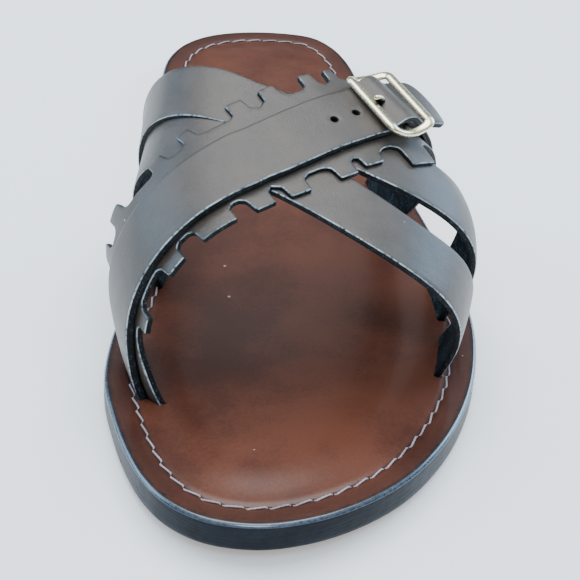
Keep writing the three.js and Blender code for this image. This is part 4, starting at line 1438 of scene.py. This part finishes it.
CROSS_THICKNESS = 2.0
NOTCHED_THICKNESS = 1.8
JOINED_SINK = 0.5
LAYER_GAP = 0.3
SLOT_GAP = 0.3
SLOT_TOP, SLOT_BASE = -0.012, 0.06
CORNER_ROUNDING = 0.6
OUTLINE_STEP = 1.1
STRAP_SPACING = 1.7
CROSS_STRAP_WIDTH = 18.5
FRONT_STRAP_INNER_WIDTH = 21.0
BUCKLED_PATH = Table(
    ("around", "along"),
    ((-1.0, 0.769), (-0.5, 0.755), (0.0, 0.696), (0.25, 0.632), (0.5, 0.567), (1.0, 0.443)),
)


def plateau(around: Array, start: tuple[float, float], end: tuple[float, float]) -> Array:
    """Returns a smooth rise from 0 to 1 and back over places around the last."""
    return smoothstep(around, *start) * (1 - smoothstep(around, *end))


@dataclass
class Strap:
    """A strap from foot to foot.

    Attributes:
        name: Name of the piece.
        last: The last that it lies on.
        path: Places along the shoe of its middle line.
        reach: Its reach in front of its middle line and behind it, at places around the last.
        climb: Where it rises onto the strap below it and comes down again.
        thickness: Its thickness.
        rounding: Rounding of its cut edges.
    """

    name: str
    last: Last
    path: Table
    reach: Table
    climb: tuple[tuple[float, float], tuple[float, float]] | None = None
    thickness: float = CROSS_THICKNESS
    rounding: float = 0.45

    def under(self, around: Array) -> Array:
        """Returns the height of the flesh side over the last."""
        if self.climb is None:
            return np.zeros(len(around))
        return (CROSS_THICKNESS - JOINED_SINK) * plateau(around, *self.climb)

    def ends(self) -> tuple[float, float]:
        """Returns the places around the last of its two ends."""
        tall = self.thickness
        return self.last.foot_end(self.path, -1, tall), self.last.foot_end(self.path, 1, tall)

    def length_table(self) -> tuple[Array, Array]:
        """Returns places around the last and the running length of the middle line there."""
        start, end = self.ends()
        around = np.linspace(start, end, 240)
        points = self.last.point(around, self.last.path_y(self.path, around))
        steps = np.linalg.norm(np.diff(points, axis=0), axis=1)
        return around, np.concatenate([[0.0], np.cumsum(steps)])

    def edge_reach(self, side: str, around: Array) -> Array:
        """Returns the reach of one edge of the strap."""
        return self.reach.at(np.clip(around, -1, 1))[side]

    def stations(self, side: str) -> Array:
        """Returns the places around the last of one edge's corners."""
        start, end = self.ends()
        return np.linspace(start, end, 90)

    def outline(self) -> Array:
        """Returns the flat outline: length along the middle line, and distance across."""
        around, length = self.length_table()
        front, back = self.stations("front"), self.stations("back")[::-1]
        front_reach, back_reach = self.edge_reach("front", front), self.edge_reach("back", back)
        corners = np.vstack(
            [
                np.column_stack([np.interp(front, around, length), -front_reach]),
                np.column_stack([np.interp(back, around, length), back_reach]),
            ]
        )
        return split_long(rounded(corners, CORNER_ROUNDING), OUTLINE_STEP)

    def lay(self, flat: Array, up: Array, edge: Array) -> Array:
        """Returns the strap's points in space for flat points and shares of its thickness."""
        around_table, length = self.length_table()
        around = np.interp(flat[:, 0], length, around_table)
        height = self.under(around) + up * self.thickness
        return self.place(around, flat[:, 1], height)

    def place(self, around: Array, across: Array, height: Array) -> Array:
        """Returns points beside and above the strap's middle line."""
        return self.last.strap_point(self.path, around, across, height)

    def rim(self) -> tuple[RimRow, ...]:
        """Returns the lines round the cut edge."""
        r, t = self.rounding, self.thickness
        turns = [math.radians(angle) for angle in (0, 30, 60, 90)]
        sides = (Side.GRAIN, Side.RIM, Side.RIM, Side.CUT)
        upper = [
            RimRow(r * (1 - math.sin(a)), 1 - r * (1 - math.cos(a)) / t, side)
            for a, side in zip(turns, sides)
        ]
        lower = [RimRow(r * (1 - math.cos(a)), r * (1 - math.sin(a)) / t) for a in turns]
        middle = [RimRow(0.0, 0.5)]
        return tuple(upper + middle + lower)

    def holes(self) -> list[Array]:
        """Returns the outlines of the holes, clockwise."""
        return []

    def plan(self) -> MeshPlan:
        """Returns the strap's mesh."""
        holes = self.holes()
        hole_rim = (
            RimRow(0.25, 1.0),
            RimRow(0.08, 0.95),
            RimRow(0.0, 0.85),
            RimRow(0.0, 0.1),
            RimRow(0.25, 0.0),
        )
        return Sheet(self.outline(), self.lay, self.rim(), STRAP_SPACING, holes, hole_rim).plan()

    def build(self, slot: str, nodes: tuple[str, ...]) -> None:
        """Builds the strap and ties it to the frame."""
        finish_piece(self.plan().build(self.name, strap_materials()), nodes)


@dataclass(frozen=True)
class Tooth:
    """One tooth of a notched edge: its start and end around the last, and its reach."""

    start: float
    end: float
    reach: float = 1.0


@dataclass
class NotchedStrap(Strap):
    """The wide strap whose two edges are cut into teeth."""

    front_teeth: tuple[Tooth, ...] = (
        Tooth(-0.65, -0.59),
        Tooth(-0.435, -0.355),
        Tooth(-0.275, -0.155),
        Tooth(-0.095, -0.03),
        Tooth(0.028, 0.072),
        Tooth(0.143, 0.187),
        Tooth(0.218, 0.27, 0.8),
        Tooth(0.335, 0.412, 1.4),
    )
    back_teeth: tuple[Tooth, ...] = (
        Tooth(-0.64, -0.535),
        Tooth(-0.45, -0.38),
        Tooth(-0.225, -0.165),
        Tooth(-0.088, -0.04),
        Tooth(0.057, 0.1),
        Tooth(0.147, 0.187),
        Tooth(0.25, 0.28),
        Tooth(0.32, 0.345),
    )
    notch_depth: float = 5.4
    curl: float = 3.2
    curl_start: float = 9.5
    curl_end: float = 21.8
    foot_turn: float = 0.5
    flank: float = 0.004
    fillet: float = 0.02
    fillet_share: float = 0.22

    def place(self, around: Array, across: Array, height: Array) -> Array:
        """Returns points of the strap, whose back teeth stand off the last at its inner side."""
        past = np.maximum(0, across - self.curl_start) / (self.curl_end - self.curl_start)
        side = plateau(around, (-0.75, -0.6), (-0.42, -0.2))
        lift = self.curl * side * past**1.5 + self.turned_in(around, across)
        return super().place(around, across, height + lift)

    def turned_in(self, around: Array, across: Array) -> Array:
        """Returns how far the front margin is turned in at the strap's inner foot."""
        margin = np.maximum(0, -across - self.curl_start)
        return -self.foot_turn * margin * smoothstep(-around, 0.62, 0.9)

    def corners(self, side: str) -> list[tuple[float, float]]:
        """Returns the corners of one edge: places around the last and shares of the depth."""
        teeth = self.front_teeth if side == "front" else self.back_teeth
        return [
            corner
            for tooth in teeth
            for corner in (
                (tooth.start - self.fillet, 0.0),
                (tooth.start - self.flank, self.fillet_share),
                (tooth.start, tooth.reach),
                (tooth.end, tooth.reach),
                (tooth.end + self.flank, self.fillet_share),
                (tooth.end + self.fillet, 0.0),
            )
        ]

    def edge_reach(self, side: str, around: Array) -> Array:
        """Returns the reach of one edge with its teeth."""
        places, shares = zip(*self.corners(side))
        teeth = self.notch_depth * np.interp(around, places, shares)
        return super().edge_reach(side, around) + teeth

    def stations(self, side: str) -> Array:
        """Returns the places of one edge's corners, with even ones between the teeth."""
        corners = np.array([place for place, _ in self.corners(side)])
        even = super().stations(side)
        clear = np.abs(even[:, None] - corners[None]).min(1) > 0.6 * self.fillet
        return np.sort(np.concatenate([even[clear], corners]))


def crossed_straps(last: Last) -> list[Strap]:
    """Returns the three joined straps of the upper, from the lowest to the highest."""
    half = CROSS_STRAP_WIDTH / 2
    front_inner = FRONT_STRAP_INNER_WIDTH / 2
    even = Table(("around", "front", "back"), ((-1.0, half, half), (1.0, half, half)))
    tapered = Table(
        ("around", "front", "back"),
        (
            (-1.0, front_inner, front_inner),
            (-0.6, front_inner, front_inner),
            (-0.3, (half + front_inner) / 2, (half + front_inner) / 2),
            (0.0, half, half),
            (1.0, half, half),
        ),
    )
    rear_path = Table(
        ("around", "along"),
        ((-1.0, 0.499), (-0.5, 0.531), (0.0, 0.612), (0.5, 0.673), (1.0, 0.633)),
    )
    front_path = Table(
        ("around", "along"),
        ((-1.0, 0.577), (-0.5, 0.592), (0.0, 0.681), (0.5, 0.772), (1.0, 0.73)),
    )
    notched_reach = Table(
        ("around", "front", "back"),
        (
            (-1.0, 13.8, 16.4),
            (-0.86, 12.2, 16.4),
            (-0.7, 10.6, 16.4),
            (-0.1, 10.4, 16.4),
            (0.15, 11.8, 15.9),
            (0.35, 12.8, 15.2),
            (1.0, 12.8, 15.2),
        ),
    )
    return [
        Strap("front_cross_strap", last, front_path, tapered),
        Strap("rear_cross_strap", last, rear_path, even, ((-1, -0.75), (-0.3, 0.1))),
        NotchedStrap(
            "notched_strap",
            last,
            BUCKLED_PATH,
            notched_reach,
            ((-0.85, -0.5), (0.6, 0.95)),
            NOTCHED_THICKNESS,
        ),
    ]


# The buckle and the two straps that it joins


@dataclass
class BucklePlace:
    """Where the buckle sits, with its own directions: along the straps, across them and up."""

    last: Last
    notched: Strap
    around: float = 0.373
    hinge_diameter: float = 1.4
    hinge_gap: float = 0.2
    ply: float = 0.9
    under_gap: float = 0.6
    frame_opening: float = 10.4
    long_bar_width: float = 3.0
    end_bar_width: float = 2.3
    frame_thickness: float = 1.8
    side_gap: float = 0.35
    top_gap: float = 0.45
    straight_reach: float = 9.0
    straight_fade: float = 16.0
    slight_bend: float = 0.04

    def __post_init__(self) -> None:
        """Works out the directions and the heights."""
        at = np.array([self.around])
        step = self.last.path_step(BUCKLED_PATH, at)
        self.mm_per_around = float(np.linalg.norm(step))
        y = self.last.path_y(BUCKLED_PATH, at)
        self.up = self.last.frame(at, y).outward[0]
        self.across = unit(np.cross(self.up, unit(step)[0]))
        self.along = np.cross(self.across, self.up)
        self.loop_inner = self.hinge_diameter / 2 + self.hinge_gap
        self.loop_outer = self.loop_inner + self.ply
        self.hinge_height = self.under_gap + self.loop_outer
        self.over_loop = self.hinge_height + self.loop_outer + LAYER_GAP
        self.over_plies = self.under_gap + 2 * self.ply + LAYER_GAP
        height = self.notched_top(at) + self.hinge_height
        self.hinge = self.last.strap_point(BUCKLED_PATH, at, np.zeros(1), height)[0]
        self.bar_along = (self.frame_opening + self.long_bar_width) / 2

    def notched_top(self, around: Array) -> Array:
        """Returns the height of the notched strap's grain side over the last."""
        return self.notched.under(around) + NOTCHED_THICKNESS

    def along_of(self, around: Array) -> Array:
        """Returns the distance along the buckle of places around the last."""
        return (around - self.around) * self.mm_per_around

    def around_of(self, along: Array) -> Array:
        """Returns the places around the last of distances along the buckle."""
        return self.around + np.asarray(along) / self.mm_per_around

    def point(self, along: Array, across: Array, up: Array) -> Array:
        """Returns points at distances from the middle of the hinge bar."""
        spread = np.broadcast_arrays(along, across, up)
        parts = zip(spread, (self.along, self.across, self.up))
        return self.hinge + sum(np.asarray(part)[..., None] * way for part, way in parts)

    def straightened(self, around: Array, across: Array, height: Array) -> Array:
        """Returns points of a strap that lies straight across the buckle."""
        on_last = self.last.strap_point(BUCKLED_PATH, around, across, height)
        middle = self.last.strap_point(BUCKLED_PATH, around, np.zeros(len(around)), height)
        straight = middle + across[:, None] * self.across
        away = np.abs(self.along_of(around))
        fade = smoothstep(away, self.straight_reach, self.straight_fade)
        share = (self.slight_bend + (1 - self.slight_bend) * fade)[:, None]
        return straight + (on_last - straight) * share


@dataclass
class BuckledStrap(Strap):
    """The plain strap that goes through the buckle and ends free."""

    buckle: BucklePlace | None = None
    width: float = 19.0
    thick: float = 2.3
    end_thick: float = 1.9
    free_end: float = 16.4
    free_end_rounding: float = 4.2
    free_end_rise: float = 4.6
    prong_hole: float = 2.6
    spare_hole: float = 2.0
    hole_spacing: float = 6.9

    def lift(self) -> Table:
        """Returns the height of the flesh side over the notched strap, along the buckle."""
        over, plies = self.buckle.over_loop, self.buckle.over_plies
        return Table(
            ("along", "lift"),
            (
                (-24.0, LAYER_GAP),
                (-12.0, LAYER_GAP),
                (-8.5, LAYER_GAP),
                (-6.2, 0.1 * over),
                (-4.2, 0.4 * over),
                (-2.0, 0.86 * over),
                (0.0, over),
                (2.0, 0.92 * over),
                (4.2, 0.7 * over),
                (6.2, plies),
                (9.0, plies + 0.25 * self.free_end_rise),
                (self.free_end, plies + self.free_end_rise),
            ),
        )

    def under(self, around: Array) -> Array:
        """Returns the height of the flesh side over the last."""
        along = self.buckle.along_of(around)
        return self.buckle.notched_top(around) + self.lift().at(along)["lift"]

    def ends(self) -> tuple[float, float]:
        """Returns the places around the last of its foot and of its free end."""
        top = NOTCHED_THICKNESS + LAYER_GAP + self.thick
        foot = self.last.foot_end(self.path, -1, top)
        return foot, float(self.buckle.around_of(self.free_end))

    def edge_reach(self, side: str, around: Array) -> Array:
        """Returns half the width, which is rounded off at the free end."""
        start = self.free_end - self.free_end_rounding
        into = np.maximum(0, self.buckle.along_of(around) - start) / self.free_end_rounding
        rounding = np.sqrt(np.maximum(0, 1 - into**2))
        return super().edge_reach(side, around) * rounding

    def stations(self, side: str) -> Array:
        """Returns the places of one edge's corners, close together at the free end."""
        start, end = self.ends()
        turn = float(self.buckle.around_of(self.free_end - self.free_end_rounding))
        quarter = np.sin(np.linspace(0, np.pi / 2, 14))[1:-1]
        return np.concatenate([np.linspace(start, turn, 80), turn + (end - turn) * quarter])

    def lay(self, flat: Array, up: Array, edge: Array) -> Array:
        """Returns the strap's points in space."""
        around_table, length = self.length_table()
        around = np.interp(flat[:, 0], length, around_table)
        thin = smoothstep(around, 0.1, 0.3)
        thickness = self.thick + (self.end_thick - self.thick) * thin
        return self.place(around, flat[:, 1], self.under(around) + up * thickness)

    def place(self, around: Array, across: Array, height: Array) -> Array:
        """Returns points beside and above the strap's middle line."""
        return self.buckle.straightened(around, across, height)

    def holes(self) -> list[Array]:
        """Returns the prong's hole and the two spare ones."""
        around, length = self.length_table()
        angle = np.linspace(0, -2 * np.pi, 18, endpoint=False)
        circle = np.column_stack([np.cos(angle), np.sin(angle)])
        prong = 0.55 * self.buckle.bar_along
        spare = [self.buckle.bar_along / 2 + count * self.hole_spacing for count in (1, 2)]
        found = []
        for distance, size in ((prong, self.prong_hole), *((s, self.spare_hole) for s in spare)):
            place = float(self.buckle.around_of(-distance))
            centre = np.array([np.interp(place, around, length), 0.0])
            found.append(centre + size / 2 * circle)
        return found


@dataclass
class BuckleStrap:
    """The short strap of two plies, folded round the hinge bar."""

    buckle: BucklePlace
    width: float = 15.0
    fold_length: float = 4.5
    rounding: float = 0.25

    def fold_line(self) -> tuple[Array, Array, Array]:
        """Returns the running length of the strap's middle line over both plies, and its points."""
        place = self.buckle
        radius = place.loop_inner + place.ply / 2
        end = float(place.along_of(self.foot()))
        turn = np.radians(np.linspace(90, 270, 25))
        out = np.linspace(end, self.fold_length, 60)
        slope = np.linspace(self.fold_length, 0, 12)[1:-1]
        high, flat = place.hinge_height + radius, place.under_gap + 1.5 * place.ply + 0.03
        rise = flat + (high - flat) * (1 - smoothstep(slope, 0, self.fold_length))
        along = np.concatenate([out, slope, radius * np.cos(turn), slope[::-1], out[::-1]])
        low = place.under_gap + place.ply / 2
        up = np.concatenate(
            [
                np.full(len(out), flat),
                rise,
                place.hinge_height + radius * np.sin(turn),
                np.full(len(slope) + len(out), low),
            ]
        )
        steps = np.hypot(np.diff(along), np.diff(up))
        return np.concatenate([[0.0], np.cumsum(steps)]), along, up

    def foot(self) -> float:
        """Returns the place around the last of the strap's foot."""
        top = NOTCHED_THICKNESS + self.buckle.under_gap + 2 * self.buckle.ply
        return self.buckle.last.foot_end(BUCKLED_PATH, 1, top)

    def lay(self, flat: Array, up: Array, edge: Array) -> Array:
        """Returns the folded strap's points in space."""
        length, along, height = self.fold_line()
        probe = 0.05
        middle = [np.interp(flat[:, 0], length, line) for line in (along, height)]
        ahead = [np.interp(flat[:, 0] + probe, length, line) for line in (along, height)]
        behind = [np.interp(flat[:, 0] - probe, length, line) for line in (along, height)]
        way = unit(np.column_stack([ahead[0] - behind[0], ahead[1] - behind[1]]))
        out = (up - 0.5) * self.buckle.ply
        at = middle[0] + way[:, 1] * out
        high = middle[1] - way[:, 0] * out
        around = self.buckle.around_of(at)
        return self.buckle.straightened(around, flat[:, 1], self.buckle.notched_top(around) + high)

    def build(self) -> None:
        """Builds the strap with the slot for the prong."""
        length, _, _ = self.fold_line()
        half, total = self.width / 2, float(length[-1])
        corners = np.array([(0, -half), (total, -half), (total, half), (0, half)])
        centre = total / 2
        slot = np.array([(-3.2, 1.1), (3.2, 1.1), (3.2, -1.1), (-3.2, -1.1)]) + (centre, 0)
        r = self.rounding
        rim = (
            RimRow(r, 1.0),
            RimRow(0.08, 0.9),
            RimRow(0.0, 0.72),
            RimRow(0.0, 0.28),
            RimRow(0.08, 0.1),
            RimRow(r, 0.0),
        )
        sheet = Sheet(
            split_long(corners, OUTLINE_STEP),
            self.lay,
            rim,
            1.5,
            [split_long(rounded(slot, 0.9), 0.5)],
            (RimRow(0.1, 1.0), RimRow(0.0, 0.8), RimRow(0.0, 0.2), RimRow(0.1, 0.0)),
        )
        piece = sheet.plan().build("buckle_strap_leather", strap_materials())
        finish_piece(piece, ("buckle_strap",))


@dataclass
class Buckle:
    """The cast frame with its hinge bar, and the prong."""

    place: BucklePlace
    strap: BuckledStrap
    corner_cut: float = 1.5
    end_bow: float = 1.0
    sag: float = 1.9
    turn: float = -6.5
    tilt: float = 0.6
    slide: float = -0.6
    long_bar_width: float = 3.3
    end_bar_width: float = 2.6
    prong_diameter: float = 1.6
    prong_gap: float = 0.15
    prong_overhang: float = 0.6
    section_points: int = 20
    squareness: float = 2.7
    bar_contact: float = 0.4
    rod_points: int = 16
    eye_points: int = 28

    def bar_up(self, along: float) -> float:
        """Returns the height over the hinge bar of a bar that lies on the buckled strap."""
        edge = along - math.copysign(self.bar_contact * self.place.long_bar_width, along)
        on_strap = float(self.strap.lift().at(np.array([edge]))["lift"][0]) + self.strap.end_thick
        half = self.place.frame_thickness / 2
        return on_strap - self.place.hinge_height + self.place.top_gap + half

    def frame_up(self, along: Array) -> Array:
        """Returns the height of the frame's middle line: it sags between its two long bars."""
        reach = self.place.bar_along
        share = along / reach
        inner, outer = self.bar_up(-reach), self.bar_up(reach)
        return inner + (outer - inner) * (share + 1) / 2 - self.sag * (1 - share**2)

    def frame_outline(self) -> Array:
        """Returns the frame's middle line in its own plane: along and across."""
        reach = self.place.bar_along
        wide = self.strap.width / 2 + self.place.side_gap + self.place.end_bar_width / 2
        corners = np.array([(reach, wide), (-reach, wide), (-reach, -wide), (reach, -wide)])
        line = respaced(rounded(split_corners(corners), self.corner_cut), 0.4)
        bow = self.end_bow / wide * (1 - np.clip(line[:, 0] / reach, -1, 1) ** 2)
        return np.column_stack([line[:, 0], line[:, 1] * (1 + bow)])

    def build_frame(self) -> None:
        """Builds the frame and its hinge bar."""
        line = self.frame_outline()
        ahead = unit(np.roll(line, -1, axis=0) - np.roll(line, 1, axis=0))
        outward = np.column_stack([ahead[:, 1], -ahead[:, 0]])
        long_share = outward[:, 0] ** 2
        widths = self.end_bar_width + (self.long_bar_width - self.end_bar_width) * long_share
        angle = np.linspace(0, 2 * np.pi, self.section_points, endpoint=False)
        power = 2 / self.squareness
        wide = np.sign(np.cos(angle)) * np.abs(np.cos(angle)) ** power
        high = np.sign(np.sin(angle)) * np.abs(np.sin(angle)) ** power
        aside = wide[None] * widths[:, None] / 2
        along = line[:, :1] + outward[:, :1] * aside
        across = line[:, 1:] + outward[:, 1:] * aside
        up = self.frame_up(line[:, 0])[:, None] + high[None] * self.place.frame_thickness / 2
        across = across + self.slide
        cos, sin = math.cos(math.radians(self.turn)), math.sin(math.radians(self.turn))
        along, across = cos * along - sin * across, sin * along + cos * across
        up = up + self.tilt * along / self.place.bar_along
        plan = MeshPlan()
        plan.add_tube(self.place.point(along, across, up)[:, ::-1], closed=True)
        reach = float(line[:, 1].max())
        plan.add_tube(self._rod_rings(np.linspace(-reach, reach, 9)))
        piece = plan.build("buckle_frame_metal", [PALE_GOLD.material()])
        finish_piece(piece, ("buckle_frame",))

    def _rod_rings(self, across: Array) -> Array:
        """Returns the rings of the hinge bar at distances across the strap."""
        angle = np.linspace(0, 2 * np.pi, self.rod_points, endpoint=False)
        radius = self.place.hinge_diameter / 2
        return self.place.point(
            radius * np.cos(angle)[None], across[:, None], -radius * np.sin(angle)[None]
        )

    def build_prong(self) -> None:
        """Builds the prong with its eye round the hinge bar."""
        place, radius = self.place, self.prong_diameter / 2
        rest = self.bar_up(-place.bar_along) + place.frame_thickness / 2 + self.prong_gap + radius
        knee = -place.frame_opening / 2 + radius
        guides = np.array(
            [
                (0.2 * knee, -0.3 * rest),
                (0.35 * knee, 0.3 * rest),
                (0.85 * knee, 0.82 * rest),
                (1.25 * knee, rest),
                (-place.bar_along, rest),
                (-place.bar_along - self.prong_overhang, rest - 0.1),
                (-place.bar_along - 2 * self.prong_overhang, rest - 0.3),
            ]
        )
        line = curve_through(guides, 24)
        ahead = unit(np.gradient(line, axis=0))
        angle = np.linspace(0, 2 * np.pi, self.rod_points, endpoint=False)
        share = np.linspace(0, 1, len(line))
        size = radius * (1 - 0.28 * smoothstep(share, 0.75, 1.0))
        size[-1] *= 0.6
        plan = MeshPlan()
        side = np.cos(angle)[None] * size[:, None]
        out = np.sin(angle)[None] * size[:, None] * 0.9
        along = line[:, :1] - ahead[:, 1:] * out
        up = line[:, 1:] + ahead[:, :1] * out
        plan.add_tube(place.point(along, side, up))
        ring = np.linspace(0, 2 * np.pi, self.eye_points, endpoint=False)
        middle = place.hinge_diameter / 2 + self.prong_gap + radius / 2
        reach = middle + np.cos(angle)[None] * radius / 2
        eye_along, eye_up = reach * np.cos(ring)[:, None], reach * np.sin(ring)[:, None]
        eye_across = np.broadcast_to(np.sin(angle)[None] * radius, eye_along.shape)
        plan.add_tube(place.point(eye_along, eye_across, eye_up), closed=True)
        piece = plan.build("buckle_prong_metal", [PALE_GOLD.material()])
        finish_piece(piece, ("buckle_prong",))


def split_corners(corners: Array) -> Array:
    """Returns a closed loop of corners with points in the middle of its sides."""
    middle = (corners + np.roll(corners, -1, axis=0)) / 2
    return np.stack([corners, middle], axis=1).reshape(-1, 2)


def slot_loop(last: Last, path: Table, side: int, corners: Array) -> tuple[Array, Array]:
    """Returns the outlines of a slot in the footbed.

    Args:
        last: The last.
        path: Middle line of the strap.
        side: -1 for the inner side and 1 for the outer side.
        corners: Corners of the slot: distances across the strap and heights over the last.

    Returns:
        The outline at the footbed's top and at its underside, both clockwise.
    """
    loop = split_long(rounded(corners, 0.5), 1.0)
    loops = []
    for beyond in (SLOT_TOP, SLOT_BASE):
        around = np.full(len(loop), side * (1 + beyond))
        loops.append(last.strap_point(path, around, loop[:, 0], loop[:, 1])[:, :2])
    x, y = loops[0].T
    area = 0.5 * np.sum(x * np.roll(y, -1) - y * np.roll(x, -1))
    return (loops[0][::-1], loops[1][::-1]) if area > 0 else (loops[0], loops[1])


def footbed_slots(
    last: Last, straps: list[Strap], buckled: BuckledStrap, short: BuckleStrap
) -> list[tuple[Array, Array]]:
    """Returns the slots of all strap feet, at the footbed's top and at its underside."""
    gap = SLOT_GAP
    slots = []
    for strap in straps[:2]:
        for side in (-1, 1):
            reach = strap.edge_reach("front", np.array([float(side)]))[0] + gap
            tall = strap.thickness + gap
            corners = np.array([(-reach, -gap), (reach, -gap), (reach, tall), (-reach, tall)])
            slots.append(slot_loop(last, strap.path, side, corners))
    notched = straps[2]
    for side, half, top in (
        (-1, buckled.width / 2, NOTCHED_THICKNESS + LAYER_GAP + buckled.thick),
        (1, short.width / 2, NOTCHED_THICKNESS + short.buckle.under_gap + 2 * short.buckle.ply),
    ):
        at = np.array([float(side)])
        front = -Strap.edge_reach(notched, "front", at)[0] - gap
        back = Strap.edge_reach(notched, "back", at)[0] + gap
        tall, half, top = NOTCHED_THICKNESS + gap, half + gap, top + gap
        turned = float(notched.turned_in(at, np.array([front]))[0])
        corners = np.array(
            [
                (front, turned - gap), (-half, -gap), (back, -gap), (back, tall),
                (half, tall), (half, top), (-half, top), (-half, tall), (front, turned + tall),
            ]
        )
        slots.append(slot_loop(last, BUCKLED_PATH, side, corners))
    return slots


# The studio


@dataclass(frozen=True)
class SoftLight:
    """A soft square light that is aimed at a point.

    Attributes:
        name: Name of the light.
        place: Where it stands, in metres.
        size: Side of its square in metres.
        power: Its power in watts.
        tint: Its colour.
    """

    name: str
    place: tuple[float, float, float]
    size: float
    power: float
    tint: tuple[float, float, float] = (1.0, 1.0, 1.0)

    def build(self, target: Vector) -> None:
        """Builds the light and turns it to its target."""
        data = bpy.data.lights.new(self.name, "AREA")
        data.shape = "SQUARE"
        data.size, data.energy, data.color = self.size, self.power, self.tint
        light = bpy.data.objects.new(self.name, data)
        light.location = self.place
        light.rotation_euler = (target - Vector(self.place)).to_track_quat("-Z", "Y").to_euler()
        bpy.context.scene.collection.objects.link(light)


@dataclass(frozen=True)
class Studio:
    """Camera, lights, floor and surroundings.

    Attributes:
        azimuth: Camera's angle round the sandal in degrees.
        elevation: Camera's angle over the floor in degrees.
        roll: Camera's tilt in degrees.
        distance: Camera's distance from its target in metres.
        target: Point that the camera looks at, in metres.
        lens: Focal length for a sensor 36 mm wide.
        horizon: Colour of the surroundings near the floor.
        zenith: Colour of the surroundings overhead.
        lights: The lights.
        aim: Point that the lights are turned to, in metres.
        floor_reach: Half the floor's side in millimetres.
        floor_lines: Number of grid lines along a side of the floor.
        floor_drop: How far the floor lies under the sole, in millimetres.
    """

    azimuth: float = -5.47
    elevation: float = 35.68
    roll: float = 3.91
    distance: float = 0.51144
    target: tuple[float, float, float] = (0.00159, -0.01952, 0.0)
    lens: float = 101.74
    horizon: Colour = colour(0.15, 0.155, 0.17)
    zenith: Colour = colour(0.88, 0.94, 1.0)
    lights: tuple[SoftLight, ...] = (
        SoftLight("overhead_light", (0.0, 0.3, 1.25), 1.15, 24.0, (0.97, 0.985, 1.0)),
        SoftLight("left_light", (-1.15, 0.5, 0.65), 0.8, 12.0, (0.45, 0.72, 1.0)),
        SoftLight("right_light", (1.1, 0.7, 0.48), 0.7, 13.0, (0.45, 0.70, 1.0)),
        SoftLight("front_light", (0.0, -0.85, 1.15), 0.5, 9.0, (0.60, 0.80, 1.0)),
    )
    aim: tuple[float, float, float] = (0.0, -0.01, 0.04)
    floor_reach: float = 4000.0
    floor_lines: int = 9
    floor_drop: float = 0.2

    def build(self) -> None:
        """Builds the studio."""
        self._build_camera()
        for light in self.lights:
            light.build(Vector(self.aim))
        self._build_floor()
        world = bpy.data.worlds.new("studio_white")
        world.use_nodes = True
        board = Board(world.node_tree)
        backdrop = world.node_tree.nodes["Background"]
        way = board.add("ShaderNodeTexCoord").outputs["Generated"]
        height = board.add("ShaderNodeSeparateXYZ", {0: way}).outputs["Z"]
        rise = board.span(height, 0.2, 0.95)
        board.feed(backdrop.inputs["Color"], board.blend(rise, self.horizon, self.zenith))
        backdrop.inputs["Strength"].default_value = 1.0
        bpy.context.scene.world = world

    def _build_camera(self) -> None:
        """Places the camera at the photograph's angle."""
        a, e, r = (math.radians(v) for v in (self.azimuth, self.elevation, self.roll))
        back = Vector((math.sin(a) * math.cos(e), -math.cos(a) * math.cos(e), math.sin(e)))
        level = (-back).cross(Vector((0, 0, 1))).normalized()
        upright = level.cross(-back)
        right = math.cos(r) * level + math.sin(r) * upright
        up = -math.sin(r) * level + math.cos(r) * upright
        data = bpy.data.cameras.new("camera")
        data.lens, data.sensor_width = self.lens, 36.0
        camera = bpy.data.objects.new("camera", data)
        bpy.context.scene.collection.objects.link(camera)
        turn = Matrix((right, up, back)).transposed().to_4x4()
        camera.matrix_world = Matrix.Translation(Vector(self.target) + back * self.distance) @ turn
        bpy.context.scene.camera = camera

    def _build_floor(self) -> None:
        """Builds the pale floor."""
        plan = MeshPlan()
        ticks = np.linspace(-self.floor_reach, self.floor_reach, self.floor_lines)
        x, y = np.meshgrid(ticks, ticks)
        plan.add_points(np.column_stack([x.ravel(), y.ravel(), np.full(x.size, -self.floor_drop)]))
        size = len(ticks)
        plan.add_faces(
            [
                (r * size + c, r * size + c + 1, (r + 1) * size + c + 1, (r + 1) * size + c)
                for r in range(size - 1)
                for c in range(size - 1)
            ]
        )
        plan.build("studio_floor", [PALE_FLOOR.material()])


def main() -> None:
    """Builds the sandal and its studio."""
    logging.basicConfig(level=logging.INFO, format="%(name)s %(message)s")
    last = Last()
    straps = crossed_straps(last)
    place = BucklePlace(last, straps[2])
    plain = Table(
        ("around", "front", "back"),
        ((-1.0, 9.5, 9.5), (0.05, 9.5, 9.5), (0.2, 9.3, 9.5), (0.33, 9.6, 9.5), (1.0, 9.8, 9.5)),
    )
    buckled = BuckledStrap("buckled_strap_leather", last, BUCKLED_PATH, plain, buckle=place)
    short = BuckleStrap(place)
    sole = Sole()
    sole.build_outsole()
    sole.build_footbed(footbed_slots(last, straps, buckled, short))
    sole.build_seam()
    for strap in straps:
        strap.build("upper", ("upper",))
    buckled.build("buckled_strap", ("buckled_strap",))
    short.build()
    buckle = Buckle(place, buckled)
    buckle.build_frame()
    buckle.build_prong()
    Studio().build()


if __name__ == "__main__":
    main()
